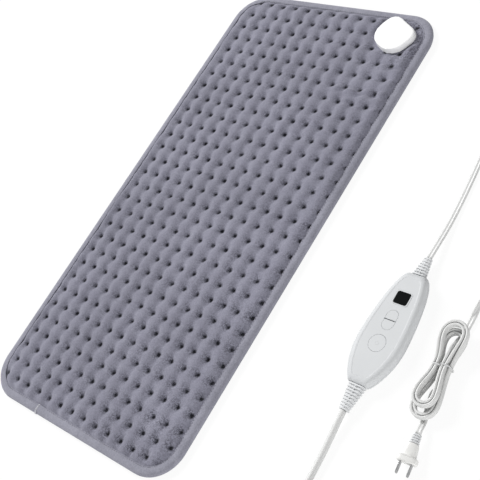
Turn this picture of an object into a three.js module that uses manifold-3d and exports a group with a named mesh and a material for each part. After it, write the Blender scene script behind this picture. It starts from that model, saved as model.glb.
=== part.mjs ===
// Electric heating pad: a quilted pad with a plug-in socket, a three-button controller,
// a round lead to the pad and a flat twin mains lead tied into a hank.
// Millimetres. X runs across the pad, Y along it, Z up from the surface that it lies on.
import * as THREE from 'three';
import { mergeVertices } from 'three/addons/utils/BufferGeometryUtils.js';
import Module from 'manifold-3d';

// Fit between neighbouring pieces
const clearance = 0.3;
const overcut = 1;
const roundMiddle = 1 - Math.SQRT1_2;
const roundSteps = 16;

// Pad
const padWidth = 305;
const padLength = 610;
const padCornerRadius = 42;
const padCornerSteps = 6;
const bindingWidth = 10.5;
const bindingWall = 0.9;
const bindingRoll = 4;
const bindingRollSteps = 2;
const hemThickness = 0.7;
const hemInset = bindingRoll + clearance;
const feltThickness = 0.8;
const feltInset = 6;
const wireDiameter = 1.4;
const wireSides = 6;
const wireRuns = 12;
const wireMargin = 24;
const wireTurnSteps = 5;
const fuseWidth = 7;
const fuseLength = 18;
const fuseCorner = 2;

// Quilting of the pad's front
const tuftPitchX = 20.65;
const tuftPitchY = 19.7;
const tuftMargin = 17;
const tuftTurn = THREE.MathUtils.degToRad(-0.9);
const tuftX = 6.8;
const tuftY = 1.8;
const tuftFloor = 1.5;
const pillowRise = 5;

// Socket at the pad's corner, in a frame of its own that is turned with its mouth
const socketX = padWidth / 2 - 48.7;
const socketY = padLength / 2 - 36.9;
const socketTurn = THREE.MathUtils.degToRad(-28);
const coverWidth = 52;
const coverLength = 42.4;
const coverMouthRadius = 13.5;
const coverBackRadius = 21;
const coverWall = 2;
const coverRoof = 1.6;
const coverEdge = 2.6;
const coverDraft = 0.3;
const coverMargin = 1;
const socketFloor = 1.2;
const socketHeight = 4.6;
const mouthWidth = 24;
const stemInset = 10;
const blockWidth = 16.6;
const blockLength = 16;
const blockFront = 2;
const pinDiameter = 1.6;
const pinLength = 8;
const pinPoint = 0.5;
const pinPitch = 6;
const pinCount = 3;
const coverScrewSpacing = 24.4;
const coverScrewBack = 4;
const coverPostDiameter = 6.4;

// Screws
const screwShank = 2.6;
const screwHead = 5;
const screwHeadHeight = 1.5;

// Controller case
const caseX = padWidth / 2 + 137;
const caseY = -67;
const caseLength = 124;
const caseWidth = 53;
const caseWidest = 0.629 * caseLength;
const caseFarEnd = 17;
const caseNearEnd = 21;
const caseFarShoulder = 12.5;
const caseNearShoulder = 2;
const caseFarReach = 17.7;
const caseNearReach = 25;
const caseSideSteps = 8;
const caseHeight = 14;
const caseParting = 6.4;
const caseWall = 1.8;
const caseFootInset = 5;
const caseFaceInset = 9;
const caseShoulder = 12;
const caseShoulderInset = 1.8;
const caseEdgeSteps = 4;
const faceRecess = 0.4;
const caseEndBlock = 10;
const caseScrewSpacing = caseLength - 32;
const caseBossDiameter = 7;
const standoffDiameter = 4;
const standoffSpacingX = 18;
const standoffSpacingY = 0.48 * caseLength;

// Controller face, measured from the far end of the case
const displayPlace = 0.24 * caseLength;
const displayWidth = 15.7;
const displayLength = 13.5;
const displayCorner = 2.2;
const displayFrame = 1.2;
const displayFrameRise = 0.35;
const levelPlace = 0.44 * caseLength;
const levelWidth = 13;
const levelLength = 22;
const levelSplit = 0.8;
const powerPlace = 0.65 * caseLength;
const powerDiameter = 18.5;
const buttonTravel = 0.8;
const buttonProud = 0.15;
const buttonEdge = 0.3;
const flangeWidth = 1;
const flangeThickness = 1.1;
const stemDiameter = 4;

// Controller board
const boardThickness = 1.6;
const boardInset = 8.5;
const boardHeight = 3.2;
const switchSize = 6.2;
const switchHeight = 3.2;
const plungerDiameter = 3.4;
const plungerSeat = 0.4;
const moduleWidth = 13;
const moduleLength = 11;
const triacWidth = 10;
const triacLength = 8;
const triacHeight = 4.4;
const capacitorWidth = 8;
const capacitorLength = 15;
const capacitorHeight = 4;
const mainsFuseDiameter = 4;
const mainsFuseLength = 14;
const componentPlace = 0.785 * caseLength;
const componentSpread = 0.19 * caseWidth;

// Strain reliefs of the controller
const reliefHeight = 7.6;
const reliefTipHeight = 5.4;
const reliefAxis = caseParting;
const reliefRib = 1.5;
const reliefRibDepth = 1.5;
const reliefSpine = 2.6;
const reliefFlange = 0.8;
const reliefFlangeThickness = 2.6;
const reliefNeck = 3.4;
const reliefRadiusShare = 0.42;
const farReliefLength = 20.6;
const farReliefBase = 16;
const farReliefTip = 8.4;
const farReliefRibs = 7;
const nearReliefLength = 27.5;
const nearReliefBase = 20;
const nearReliefTip = 10.6;
const nearReliefRibs = 9;

// Flat twin mains lead, and the hank that most of it is tied into, from the controller's middle
const flatWidth = 6.2;
const leadStep = 1.1 * flatWidth;
const tailStep = 0.7 * flatWidth;
const flatThickness = 2.8;
const hankX = 68.8;
const hankY = -15.6;
const hankTurn = THREE.MathUtils.degToRad(3.4);
const hankInnerLength = 78;
const hankSlip = 4;
const hankSag = 3.2;
const hankRiseStart = 0.15;
const hankRiseEnd = 0.7;
const hankInnerWidth = 14.2;
const hankWaist = 3.9;
const hankTurns = 1.75;
const hankPitch = 3.3;
const hankLayerPitch = 6.8;
const hankWaistLift = 1.2;
const hankEndLift = 3.6;
const hankStart = 0.012;
const hankTieSlack = 0.3;
const loopSteps = 24;
const tieWidth = 2.2;
const tieThickness = 0.6;
const tieSteps = 3;
const tieCorner = 2;
const leadLift = 0.2;
const leadStraight = 8;

// Plug, from the controller's middle
const plugX = 79.2;
const plugY = -81.9;
const plugTurn = THREE.MathUtils.degToRad(6.5);
const plugRoll = THREE.MathUtils.degToRad(14);
const plugAxis = 6.8;
const plugReliefLength = 9;
const plugReliefBase = 9.4;
const plugReliefTip = 7.8;
const plugReliefRibs = 4;
const plugReliefHeight = 6.4;
const plugBodyLength = 13;
const plugBodyWidth = 11;
const plugGripWidth = 13.6;
const plugFlangeWidth = 19.4;
const plugFlangeLength = 5.5;
const plugHeight = 11.4;
const plugNeckLength = 1.5;
const plugNeckRise = 2;
const plugGripPlace = 0.6;
const plugEdge = 0.8;
const bladeSpacing = 10.6;
const bladeWidth = 6.35;
const bladeThickness = 1.5;
const bladeLength = 11.2;
const bladeHole = 3;
const bladeHolePlace = 7.8;
const bladeNose = 0.6;

// Round lead to the pad, its coil and its connector, from the controller's middle
const roundDiameter = 6.5;
const roundSides = 8;
const loopSides = 6;
const coilX = 40.5;
const coilY = -221;
const coilRadius = 38;
const coilTurns = 1.375;
const coilPitch = 7.2;
const coilLayerPitch = 7.2;
const coilTieAngle = THREE.MathUtils.degToRad(135);
const connectorX = 93.5;
const connectorY = -211;
const connectorHeight = 9.4;
const connectorBodyWidth = 30;
const connectorBodyLength = 25;
const connectorShoulder = 3;
const connectorShoulderWidth = 0.7 * connectorBodyWidth;
const connectorTaper = 9;
const connectorEdge = 0.8;
const connectorReliefLength = 14;
const connectorReliefBase = 12;
const connectorReliefTip = 9;
const connectorReliefRibs = 5;
const tongueLength = 16;
const contactWall = 0.35;
const contactPlay = 0.1;
const contactFit = 0.2;
const contactDepth = 11;

const contactOuter = pinDiameter + 2 * (contactPlay + contactWall);

// Levels of the pad's layers, from the surface up
const backTop = bindingWall + clearance + hemThickness;
const lowerFeltBottom = backTop + clearance;
const lowerFeltTop = lowerFeltBottom + feltThickness;
const wireBottom = lowerFeltTop + clearance;
const wireAxis = wireBottom + wireDiameter / 2;
const upperFeltBottom = wireBottom + wireDiameter + clearance;
const upperFeltTop = upperFeltBottom + feltThickness;
const frontBottom = upperFeltTop + clearance;
const hemTop = frontBottom + hemThickness;
const bindingTop = hemTop + clearance + bindingWall;
const quiltInset = bindingWidth + clearance;
const tuftLevel = frontBottom + tuftFloor;
const quiltTop = tuftLevel + pillowRise;

// Levels of the socket
const coverBottom = bindingTop + clearance;
const pressedFront = coverBottom - clearance;
const socketFloorTop = coverBottom + socketFloor;
const socketRoof = socketFloorTop + socketHeight;
const coverTop = socketRoof + coverRoof;

// Levels of the controller
const faceLevel = caseHeight - faceRecess;
const roofLevel = faceLevel - caseWall;
const caseEnd = caseLength / 2;
const boardTop = boardHeight + boardThickness;
const partLevel = boardTop + clearance;
const switchTop = partLevel + switchHeight;
const flangeTop = roofLevel - clearance;
const flangeBottom = flangeTop - flangeThickness;
const plungerBottom = switchTop - plungerSeat;
const plungerTop = (plungerBottom + flangeBottom) / 2;
const levelRadius = levelWidth / 2;

const wasm = await Module();
wasm.setup();

// Closed geometry as a solid that can be cut and joined.
function solid(geometry) {
  const bare = geometry.clone();
  bare.deleteAttribute('normal');
  bare.deleteAttribute('uv');
  const merged = mergeVertices(bare);
  const corners = merged.index.array;
  const kept = [];
  for (let i = 0; i < corners.length; i += 3) {
    const [a, b, c] = corners.slice(i, i + 3);
    if (a !== b && b !== c && c !== a) kept.push(a, b, c);
  }
  const vertProperties = new Float32Array(merged.attributes.position.array);
  return new wasm.Manifold(new wasm.Mesh({ numProp: 3, vertProperties, triVerts: new Uint32Array(kept) }));
}

// Solid back as a geometry.
function geometryOf(body) {
  const mesh = body.getMesh();
  const geometry = new THREE.BufferGeometry();
  geometry.setAttribute('position', new THREE.BufferAttribute(new Float32Array(mesh.vertProperties), 3));
  geometry.setIndex(Array.from(mesh.triVerts));
  return geometry;
}

// Skin over rings of equal point counts: capped at both ends, or closed into a hoop.
function skin(rings, hoop = false) {
  const count = rings[0].length;
  const points = rings.flat();
  const index = [];
  const spans = hoop ? rings.length : rings.length - 1;
  for (let r = 0; r < spans; r += 1) {
    const low = r * count;
    const high = ((r + 1) % rings.length) * count;
    for (let i = 0; i < count; i += 1) {
      const next = (i + 1) % count;
      index.push(low + i, low + next, high + next, low + i, high + next, high + i);
    }
  }
  if (!hoop) {
    for (const end of [0, rings.length - 1]) {
      const middle = points.length;
      const centre = new THREE.Vector3();
      rings[end].forEach((point) => centre.addScaledVector(point, 1 / count));
      points.push(centre);
      for (let i = 0; i < count; i += 1) {
        const next = (i + 1) % count;
        const [first, second] = end === 0 ? [next, i] : [i, next];
        index.push(end * count + first, end * count + second, middle);
      }
    }
  }
  const geometry = new THREE.BufferGeometry();
  geometry.setAttribute('position', new THREE.Float32BufferAttribute(points.flatMap((p) => p.toArray()), 3));
  geometry.setIndex(index);
  return geometry;
}

// Outline moved inwards by a distance, keeping its points (outlines run anticlockwise).
function inset(outline, distance) {
  const count = outline.length;
  return outline.map((point, i) => {
    const before = point.clone().sub(outline[(i + count - 1) % count]).normalize();
    const after = outline[(i + 1) % count].clone().sub(point).normalize();
    const sum = new THREE.Vector2(-before.y - after.y, before.x + after.x);
    return point.clone().addScaledVector(sum, distance / (1 + before.dot(after)));
  });
}

// Body whose outline follows a profile of [height, inset] pairs from bottom to top.
function turnedOutline(outline, profile, hoop = false) {
  const rings = profile.map(([height, distance]) => (
    inset(outline, distance).map((point) => new THREE.Vector3(point.x, point.y, height))
  ));
  return skin(rings, hoop);
}

function plate(outline, bottom, top) {
  return turnedOutline(outline, [[bottom, 0], [top, 0]]);
}

// Rectangle with rounded corners, given as near-left, near-right, far-right and far-left radii.
function rounded(width, length, radii, steps) {
  const [nearLeft, nearRight, farRight, farLeft] = radii;
  const corners = [
    [width / 2 - nearRight, nearRight - length / 2, nearRight, -90],
    [width / 2 - farRight, length / 2 - farRight, farRight, 0],
    [farLeft - width / 2, length / 2 - farLeft, farLeft, 90],
    [nearLeft - width / 2, nearLeft - length / 2, nearLeft, 180],
  ];
  const outline = [];
  for (const [x, y, radius, start] of corners) {
    for (let i = 0; i <= steps; i += 1) {
      const angle = THREE.MathUtils.degToRad(start + (90 * i) / steps);
      outline.push(new THREE.Vector2(x + radius * Math.cos(angle), y + radius * Math.sin(angle)));
    }
  }
  return outline;
}

function evenlyRounded(width, length, radius, steps = 3) {
  return rounded(width, length, [radius, radius, radius, radius], steps);
}

function circle(diameter, sides = roundSteps) {
  const outline = [];
  for (let i = 0; i < sides; i += 1) {
    const angle = (2 * Math.PI * i) / sides;
    outline.push(new THREE.Vector2(Math.cos(angle), Math.sin(angle)).multiplyScalar(diameter / 2));
  }
  return outline;
}

function moved(outline, x, y) {
  return outline.map((point) => new THREE.Vector2(point.x + x, point.y + y));
}

function box(width, length, bottom, top, x = 0, y = 0) {
  const geometry = new THREE.BoxGeometry(width, length, top - bottom);
  geometry.translate(x, y, (top + bottom) / 2);
  return geometry;
}

// Path through given stations; a roll of a quarter turn stands a flat section on edge.
class Route extends THREE.Curve {
  constructor(stations, roll = () => 0) {
    super();
    this.stations = stations;
    this.roll = roll;
  }

  getSpacedPoints() {
    return this.stations;
  }

  computeFrenetFrames() {
    const last = this.stations.length - 1;
    const frames = { tangents: [], normals: [], binormals: [] };
    this.stations.forEach((point, i) => {
      const tangent = this.stations[Math.min(i + 1, last)].clone();
      tangent.sub(this.stations[Math.max(i - 1, 0)]).normalize();
      const level = new THREE.Vector3(tangent.y, -tangent.x, 0).normalize();
      const upright = level.clone().cross(tangent);
      const angle = this.roll(point, i);
      const normal = level.multiplyScalar(Math.cos(angle)).addScaledVector(upright, Math.sin(angle));
      frames.tangents.push(tangent);
      frames.normals.push(normal);
      frames.binormals.push(tangent.clone().cross(normal));
    });
    return frames;
  }
}

function tube(section, route) {
  const shape = new THREE.Shape(section);
  const steps = route.stations.length - 1;
  return new THREE.ExtrudeGeometry(shape, { steps, extrudePath: route, bevelEnabled: false });
}

// Evenly spaced route on a smooth curve through hand-chosen [x, y, z, roll in degrees] points.
function laidRoute(points, spacing) {
  const curve = new THREE.CatmullRomCurve3(
    points.map(([x, y, z]) => new THREE.Vector3(x, y, z)),
    false,
    'centripetal',
  );
  const steps = Math.round(curve.getLength() / spacing);
  const rolls = [];
  for (let i = 0; i <= steps; i += 1) {
    const place = curve.getUtoTmapping(i / steps) * (points.length - 1);
    const before = Math.min(Math.floor(place), points.length - 2);
    const share = THREE.MathUtils.smoothstep(place - before, 0, 1);
    const [from, to] = [points[before][3], points[before + 1][3]];
    rolls.push(THREE.MathUtils.degToRad(THREE.MathUtils.lerp(from, to, share)));
  }
  return new Route(curve.getSpacedPoints(steps), (point, i) => rolls[i]);
}

function routeLength(stations) {
  let length = 0;
  for (let i = 1; i < stations.length; i += 1) {
    length += stations[i].distanceTo(stations[i - 1]);
  }
  return length;
}

function lengths(routes) {
  return routes.map((route) => routeLength(route.stations).toFixed(0)).join(' + ');
}

// Least gap between turns of a wound tube, taken between points round its rings.
function leastGap(section, route) {
  const { normals, binormals } = route.computeFrenetFrames();
  const turns = route.stations.map((point, i) => section.flatMap((corner, k) => {
    const middle = corner.clone().lerp(section[(k + 1) % section.length], 0.5);
    return [corner, middle].map((at) => (
      point.clone().addScaledVector(normals[i], at.x).addScaledVector(binormals[i], at.y)
    ));
  }));
  let least = Infinity;
  for (let a = 0; a < turns.length; a += 1) {
    for (let b = a + loopSteps / 2; b < turns.length; b += 1) {
      for (const here of turns[a]) {
        for (const there of turns[b]) least = Math.min(least, here.distanceTo(there));
      }
    }
  }
  return least;
}

const model = new THREE.Group();

function add(name, geometry, colour, roughness, metalness = 0, parent = model) {
  const material = new THREE.MeshStandardMaterial({ color: colour, roughness, metalness });
  const mesh = new THREE.Mesh(geometry, material);
  mesh.name = name;
  parent.add(mesh);
  return mesh;
}

// Colours
const plushColour = 0x8f8e9c;
const bindingColour = 0xa3a3ad;
const feltColour = 0xe6e3dc;
const whitePlastic = 0xf2f3f4;
const casePlastic = 0xdfe1e3;
const greyRubber = 0xbfc3c7;
const leadColour = 0xd5d8da;
const brass = 0xc9a24b;
const steel = 0xb9bcc0;
const blackGlass = 0x0b0b0d;
const boardGreen = 0x2f6b45;
const tieColour = 0x8d9196;

const padOutline = evenlyRounded(padWidth, padLength, padCornerRadius, padCornerSteps);
const coverOutline = rounded(
  coverWidth,
  coverLength,
  [coverBackRadius, coverBackRadius, coverMouthRadius, coverMouthRadius],
  4,
);

// Outline given in the socket's frame, placed on the pad.
function onPad(outline) {
  return outline.map((point) => (
    point.clone().rotateAround(new THREE.Vector2(), socketTurn).add(new THREE.Vector2(socketX, socketY))
  ));
}

function backPanel() {
  const rim = bindingWall + clearance;
  const profile = [[0, quiltInset], [rim, quiltInset], [rim, hemInset], [backTop, hemInset]];
  return turnedOutline(padOutline, profile);
}

// Folded tape round the edge: a C section with a rounded outer side.
function edgeBinding() {
  const middle = bindingTop / 2;
  const side = (wall) => {
    const arc = [];
    for (let i = -bindingRollSteps; i <= bindingRollSteps; i += 1) {
      const angle = (Math.PI / 2) * (i / bindingRollSteps);
      const across = bindingRoll - (bindingRoll - wall) * Math.cos(angle);
      arc.push([middle + (middle - wall) * Math.sin(angle), across]);
    }
    return arc;
  };
  const outside = [[0, bindingWidth], ...side(0), [bindingTop, bindingWidth]];
  const ceiling = bindingTop - bindingWall;
  const inside = [[bindingWall, bindingWidth], ...side(bindingWall), [ceiling, bindingWidth]];
  return turnedOutline(padOutline, [...outside, ...inside.reverse()], true);
}

// Sheet of pillows between sewn tufts, flat round its edge and wider than the pad, to be trimmed.
function quiltSheet() {
  const columns = Math.floor((padWidth - 2 * tuftMargin) / tuftPitchX) + 3;
  const rows = Math.floor((padLength - 2 * tuftMargin) / tuftPitchY) + 3;
  const place = (column, row, height) => {
    const across = (column - (columns - 1) / 2) * tuftPitchX;
    const down = (row - (rows - 1) / 2) * tuftPitchY;
    const spot = new THREE.Vector2(across, down).rotateAround(new THREE.Vector2(), tuftTurn);
    return new THREE.Vector3(spot.x + tuftX, spot.y + tuftY, height);
  };
  const points = [];
  const index = [];
  for (let row = 0; row < rows; row += 1) {
    for (let column = 0; column < columns; column += 1) points.push(place(column, row, tuftLevel));
  }
  for (let row = 0; row < rows - 1; row += 1) {
    for (let column = 0; column < columns - 1; column += 1) {
      const first = row * columns + column;
      const ring = [first, first + 1, first + columns + 1, first + columns];
      if (row % (rows - 2) === 0 || column % (columns - 2) === 0) {
        index.push(ring[0], ring[1], ring[2], ring[0], ring[2], ring[3]);
        continue;
      }
      const crown = points.length;
      points.push(place(column + 0.5, row + 0.5, quiltTop));
      ring.forEach((corner, i) => index.push(corner, ring[(i + 1) % 4], crown));
    }
  }
  const edge = [];
  for (let column = 0; column < columns - 1; column += 1) edge.push(column);
  for (let row = 0; row < rows - 1; row += 1) edge.push(row * columns + columns - 1);
  for (let column = columns - 1; column > 0; column -= 1) edge.push((rows - 1) * columns + column);
  for (let row = rows - 1; row > 0; row -= 1) edge.push(row * columns);
  const under = points.length;
  edge.forEach((corner) => points.push(points[corner].clone().setZ(frontBottom)));
  const middle = points.length;
  points.push(new THREE.Vector3(0, 0, frontBottom));
  edge.forEach((corner, i) => {
    const next = (i + 1) % edge.length;
    index.push(under + i, under + next, edge[next], under + i, edge[next], corner);
    index.push(under + next, under + i, middle);
  });
  const geometry = new THREE.BufferGeometry();
  geometry.setAttribute('position', new THREE.Float32BufferAttribute(points.flatMap((p) => p.toArray()), 3));
  geometry.setIndex(index);
  return geometry;
}

// Quilted front: pillows up to the binding, a flat hem in it, and a seat for the socket.
function frontPanel() {
  const trim = plate(inset(padOutline, quiltInset), frontBottom, quiltTop + overcut);
  const hem = plate(inset(padOutline, hemInset), frontBottom, hemTop);
  const seat = plate(onPad(inset(coverOutline, -coverMargin)), pressedFront, quiltTop + 2 * overcut);
  const hole = plate(onPad(inset(coverOutline, stemInset - clearance)), 0, quiltTop + overcut);
  const quilt = solid(quiltSheet()).intersect(solid(trim)).add(solid(hem));
  return geometryOf(quilt.subtract(solid(seat)).subtract(solid(hole)));
}

function lowerFelt() {
  return plate(inset(padOutline, feltInset), lowerFeltBottom, lowerFeltTop);
}

function upperFelt() {
  const sheet = solid(plate(inset(padOutline, feltInset), upperFeltBottom, upperFeltTop));
  const hole = plate(onPad(inset(coverOutline, stemInset - clearance)), 0, coverTop);
  return geometryOf(sheet.subtract(solid(hole)));
}

// Serpentine heating wire: runs along the pad, shorter under the socket, both ends at its stem.
const wirePitch = (padWidth - 2 * wireMargin) / (wireRuns - 1);

function heatingWire() {
  const turn = wirePitch / 2;
  const farLine = padLength / 2 - wireMargin;
  const farTurn = farLine - wireDiameter - 2 * turn;
  const nearTurn = wireMargin + turn - padLength / 2;
  const stemReach = Math.hypot(coverWidth, coverLength) / 2 - stemInset;
  const shortTurn = socketY - stemReach - 2 * turn;
  const runX = (run) => padWidth / 2 - wireMargin - run * wirePitch;
  const farEnd = (run) => {
    const pair = Math.floor((run + 1) / 2) * 2;
    return runX(pair) > socketX - stemReach - wirePitch ? shortTurn : farTurn;
  };
  const fromSocket = (u, v) => {
    const spot = onPad([new THREE.Vector2(u, v)])[0];
    return new THREE.Vector3(spot.x, spot.y, wireAxis);
  };
  const nearSide = stemInset - coverLength / 2 - 2 * clearance;
  const sideways = stemInset - coverWidth / 2 - 2 * clearance;
  const stations = [fromSocket(0, nearSide), fromSocket(0, nearSide - 2 * wireDiameter)];
  for (let run = 0; run < wireRuns; run += 1) {
    const up = run % 2 === 1;
    const start = new THREE.Vector3(runX(run), up ? nearTurn : farEnd(run), wireAxis);
    const end = new THREE.Vector3(runX(run), up ? farEnd(run) : nearTurn, wireAxis);
    stations.push(start, end);
    if (run === wireRuns - 1) break;
    for (let i = 1; i < wireTurnSteps; i += 1) {
      const angle = (Math.PI * i) / wireTurnSteps;
      const across = end.x - turn + turn * Math.cos(angle);
      stations.push(new THREE.Vector3(across, end.y + (up ? 1 : -1) * turn * Math.sin(angle), wireAxis));
    }
  }
  const lastX = runX(wireRuns - 1);
  stations.push(new THREE.Vector3(lastX + turn / 3, farLine - turn / 3, wireAxis));
  stations.push(new THREE.Vector3(lastX + turn, farLine, wireAxis));
  stations.push(new THREE.Vector3(socketX - stemReach - turn, farLine, wireAxis));
  stations.push(fromSocket(sideways - 2 * wireDiameter, 0), fromSocket(sideways, 0));
  return tube(circle(wireDiameter, wireSides), new Route(stations));
}

function thermalFuse() {
  const between = padWidth / 2 - wireMargin - (wireRuns / 2 - 0.5) * wirePitch;
  const outline = moved(evenlyRounded(fuseWidth, fuseLength, fuseCorner), between, 0);
  return plate(outline, wireBottom, wireBottom + wireDiameter);
}

function buildPad() {
  add('back_panel', backPanel(), plushColour, 0.95);
  add('lower_felt', lowerFelt(), feltColour, 0.95);
  add('heating_wire', heatingWire(), 0xd9d2c4, 0.6);
  add('thermal_fuse', thermalFuse(), 0x3c3c40, 0.5);
  add('upper_felt', upperFelt(), feltColour, 0.95);
  add('front_panel', frontPanel(), plushColour, 0.95);
  add('edge_binding', edgeBinding(), bindingColour, 0.8);
}

// A screw that points up, its head at the given level.
function screw(bottom, length) {
  const profile = [
    new THREE.Vector2(0, bottom),
    new THREE.Vector2(screwHead / 2, bottom),
    new THREE.Vector2(screwHead / 2, bottom + screwHeadHeight),
    new THREE.Vector2(screwShank / 2, bottom + screwHeadHeight),
    new THREE.Vector2(screwShank / 2, bottom + length - screwShank / 2),
    new THREE.Vector2(0, bottom + length),
  ];
  const geometry = new THREE.LatheGeometry(profile, 10);
  geometry.rotateX(Math.PI / 2);
  return geometryOf(solid(geometry));
}

const coverScrewPlaces = [-coverScrewSpacing / 2, coverScrewSpacing / 2];
const coverScrewBottom = wireBottom + clearance;

function socketBase() {
  let base = solid(turnedOutline(coverOutline, [
    [wireBottom, stemInset],
    [coverBottom, stemInset],
    [coverBottom, coverWall + clearance],
    [socketFloorTop, coverWall + clearance],
  ]));
  for (const x of coverScrewPlaces) {
    const shank = moved(circle(screwShank + 2 * clearance), x, -coverScrewBack);
    const head = moved(circle(screwHead + 2 * clearance), x, -coverScrewBack);
    base = base.subtract(solid(plate(shank, 0, coverTop)));
    base = base.subtract(solid(plate(head, 0, coverScrewBottom + screwHeadHeight + clearance)));
  }
  return geometryOf(base);
}

function socketCover() {
  const shell = solid(turnedOutline(coverOutline, [
    [coverBottom, 0],
    [coverTop - coverEdge, coverDraft],
    [coverTop - coverEdge * roundMiddle, coverDraft + coverEdge * roundMiddle],
    [coverTop, coverDraft + coverEdge],
  ]));
  const hollow = solid(plate(inset(coverOutline, coverWall), coverBottom - overcut, socketRoof));
  const reach = coverWall + 2 * overcut;
  const mouthY = coverLength / 2 - reach / 2 + overcut;
  const mouth = solid(box(mouthWidth, reach, coverBottom - overcut, socketRoof, 0, mouthY));
  let cover = shell.subtract(hollow).subtract(mouth);
  for (const x of coverScrewPlaces) {
    const post = moved(circle(coverPostDiameter), x, -coverScrewBack);
    const bore = moved(circle(screwShank + 2 * clearance), x, -coverScrewBack);
    cover = cover.add(solid(plate(post, socketFloorTop + clearance, socketRoof + coverRoof / 2)));
    cover = cover.subtract(solid(plate(bore, 0, socketRoof)));
  }
  return geometryOf(cover);
}

function buildSocket() {
  const socket = new THREE.Group();
  socket.position.set(socketX, socketY, 0);
  socket.rotation.z = socketTurn;
  model.add(socket);
  add('socket_base', socketBase(), whitePlastic, 0.5, 0, socket);
  add('socket_cover', socketCover(), whitePlastic, 0.35, 0, socket);
  const blockY = blockFront - blockLength / 2;
  const blockBottom = socketFloorTop + clearance;
  const blockTop = socketRoof - clearance;
  const block = box(blockWidth, blockLength, blockBottom, blockTop, 0, blockY);
  add('contact_block', block, 0x2a2a2e, 0.5, 0, socket);
  for (let i = 0; i < pinCount; i += 1) {
    const point = [[0, 0], [pinLength - pinPoint, 0], [pinLength, pinPoint]];
    const pin = turnedOutline(circle(pinDiameter, 8), point);
    const mesh = add(`contact_pin_${i + 1}`, pin, brass, 0.3, 1, socket);
    const across = (i - (pinCount - 1) / 2) * pinPitch;
    mesh.position.set(across, blockFront + clearance, (blockBottom + blockTop) / 2);
    mesh.rotation.x = -Math.PI / 2;
  }
  coverScrewPlaces.forEach((x, i) => {
    const length = socketRoof - clearance - coverScrewBottom;
    const mesh = add(`socket_screw_${i + 1}`, screw(coverScrewBottom, length), steel, 0.35, 1, socket);
    mesh.position.set(x, -coverScrewBack, 0);
  });
}

// Case outline: two curves a side between flat ends, widest towards the near end.
function caseOutline() {
  const widestY = caseEnd - caseWidest;
  const near = new THREE.CubicBezierCurve(
    new THREE.Vector2(caseNearEnd / 2, -caseEnd),
    new THREE.Vector2(caseNearEnd / 2 + caseNearShoulder, -caseEnd),
    new THREE.Vector2(caseWidth / 2, widestY - caseNearReach),
    new THREE.Vector2(caseWidth / 2, widestY),
  );
  const far = new THREE.CubicBezierCurve(
    new THREE.Vector2(caseWidth / 2, widestY),
    new THREE.Vector2(caseWidth / 2, widestY + caseFarReach),
    new THREE.Vector2(caseFarEnd / 2 + caseFarShoulder, caseEnd),
    new THREE.Vector2(caseFarEnd / 2, caseEnd),
  );
  const right = [...near.getPoints(caseSideSteps), ...far.getPoints(caseSideSteps).slice(1)];
  const left = right.map((point) => new THREE.Vector2(-point.x, point.y)).reverse();
  return [...right, ...left];
}

// Rounded side of the case as [height, inset] pairs, with the skin moved in by a wall.
// Above its shoulder a shallow slope leads to the flat face.
function caseProfile(wall, top) {
  const profile = [];
  for (let i = -caseEdgeSteps; i <= caseEdgeSteps; i += 1) {
    const angle = (Math.PI / 2) * (i / caseEdgeSteps);
    const rise = i < 0 ? caseParting : caseShoulder - caseParting;
    const edge = i < 0 ? caseFootInset : caseShoulderInset;
    profile.push([
      caseParting + (rise - wall) * Math.sin(angle),
      wall + edge * (1 - Math.cos(angle)),
    ]);
  }
  profile.push([top - wall, wall + caseFaceInset]);
  return profile;
}

const controllerOutline = caseOutline();
const screwPlaces = [-caseScrewSpacing / 2, caseScrewSpacing / 2];
const caseScrewBottom = 1;

// Solid through the case's outline at the given [height, inset] pairs, drawn in towards its middle.
function caseSkin(profile) {
  return solid(skin(profile.map(([height, depth]) => controllerOutline.map((point) => new THREE.Vector3(
    point.x * (1 - (2 * depth) / caseWidth),
    point.y * (1 - (2 * depth) / caseLength),
    height,
  )))));
}

function caseBody() {
  return caseSkin([
    ...caseProfile(0, caseHeight),
    [caseHeight, caseFaceInset + 2 * faceRecess],
    [faceLevel, caseFaceInset + 3 * faceRecess],
  ]);
}

function caseHollow() {
  const span = 2 * (caseEnd - caseEndBlock);
  const keep = solid(box(2 * caseWidth, span, -overcut, caseHeight));
  return caseSkin(caseProfile(caseWall, faceLevel)).intersect(keep);
}

// Point on the case's axis at a distance from its far end.
function along(distance) {
  return caseEnd - distance;
}

// Half of the level key pair: a straight side at the split and a round far side.
function levelHalf(grow, split) {
  const reach = levelRadius + grow;
  const outline = [new THREE.Vector2(-reach, split), new THREE.Vector2(reach, split)];
  const centre = levelLength / 2 - levelRadius;
  for (let i = 0; i <= roundSteps / 2; i += 1) {
    const angle = (2 * Math.PI * i) / roundSteps;
    outline.push(new THREE.Vector2(reach * Math.cos(angle), centre + reach * Math.sin(angle)));
  }
  return outline;
}

// Ring of a strain relief at a level along its axis.
function reliefRing(level, width, height, steps = 2) {
  const corner = reliefRadiusShare * Math.min(width, height);
  const outline = evenlyRounded(width, height, corner, steps);
  return outline.map((point) => new THREE.Vector3(point.x, point.y, level));
}

function reliefBlock(low, high, width, height) {
  return solid(skin([reliefRing(low, width, height), reliefRing(high, width, height)]));
}

// Neck and flange that hold a strain relief in a wall, below its seat at zero.
function reliefAnchor({ base, height }, grow, top) {
  const neckWidth = base - 2 * reliefRibDepth + 2 * grow;
  const neckHeight = height - 2 * reliefRibDepth + 2 * grow;
  const low = -reliefNeck - reliefFlangeThickness - grow;
  const neck = reliefBlock(low, top, neckWidth, neckHeight);
  const grown = 2 * reliefFlange;
  return neck.add(reliefBlock(low, grow - reliefNeck, neckWidth + grown, neckHeight + grown));
}

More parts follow.
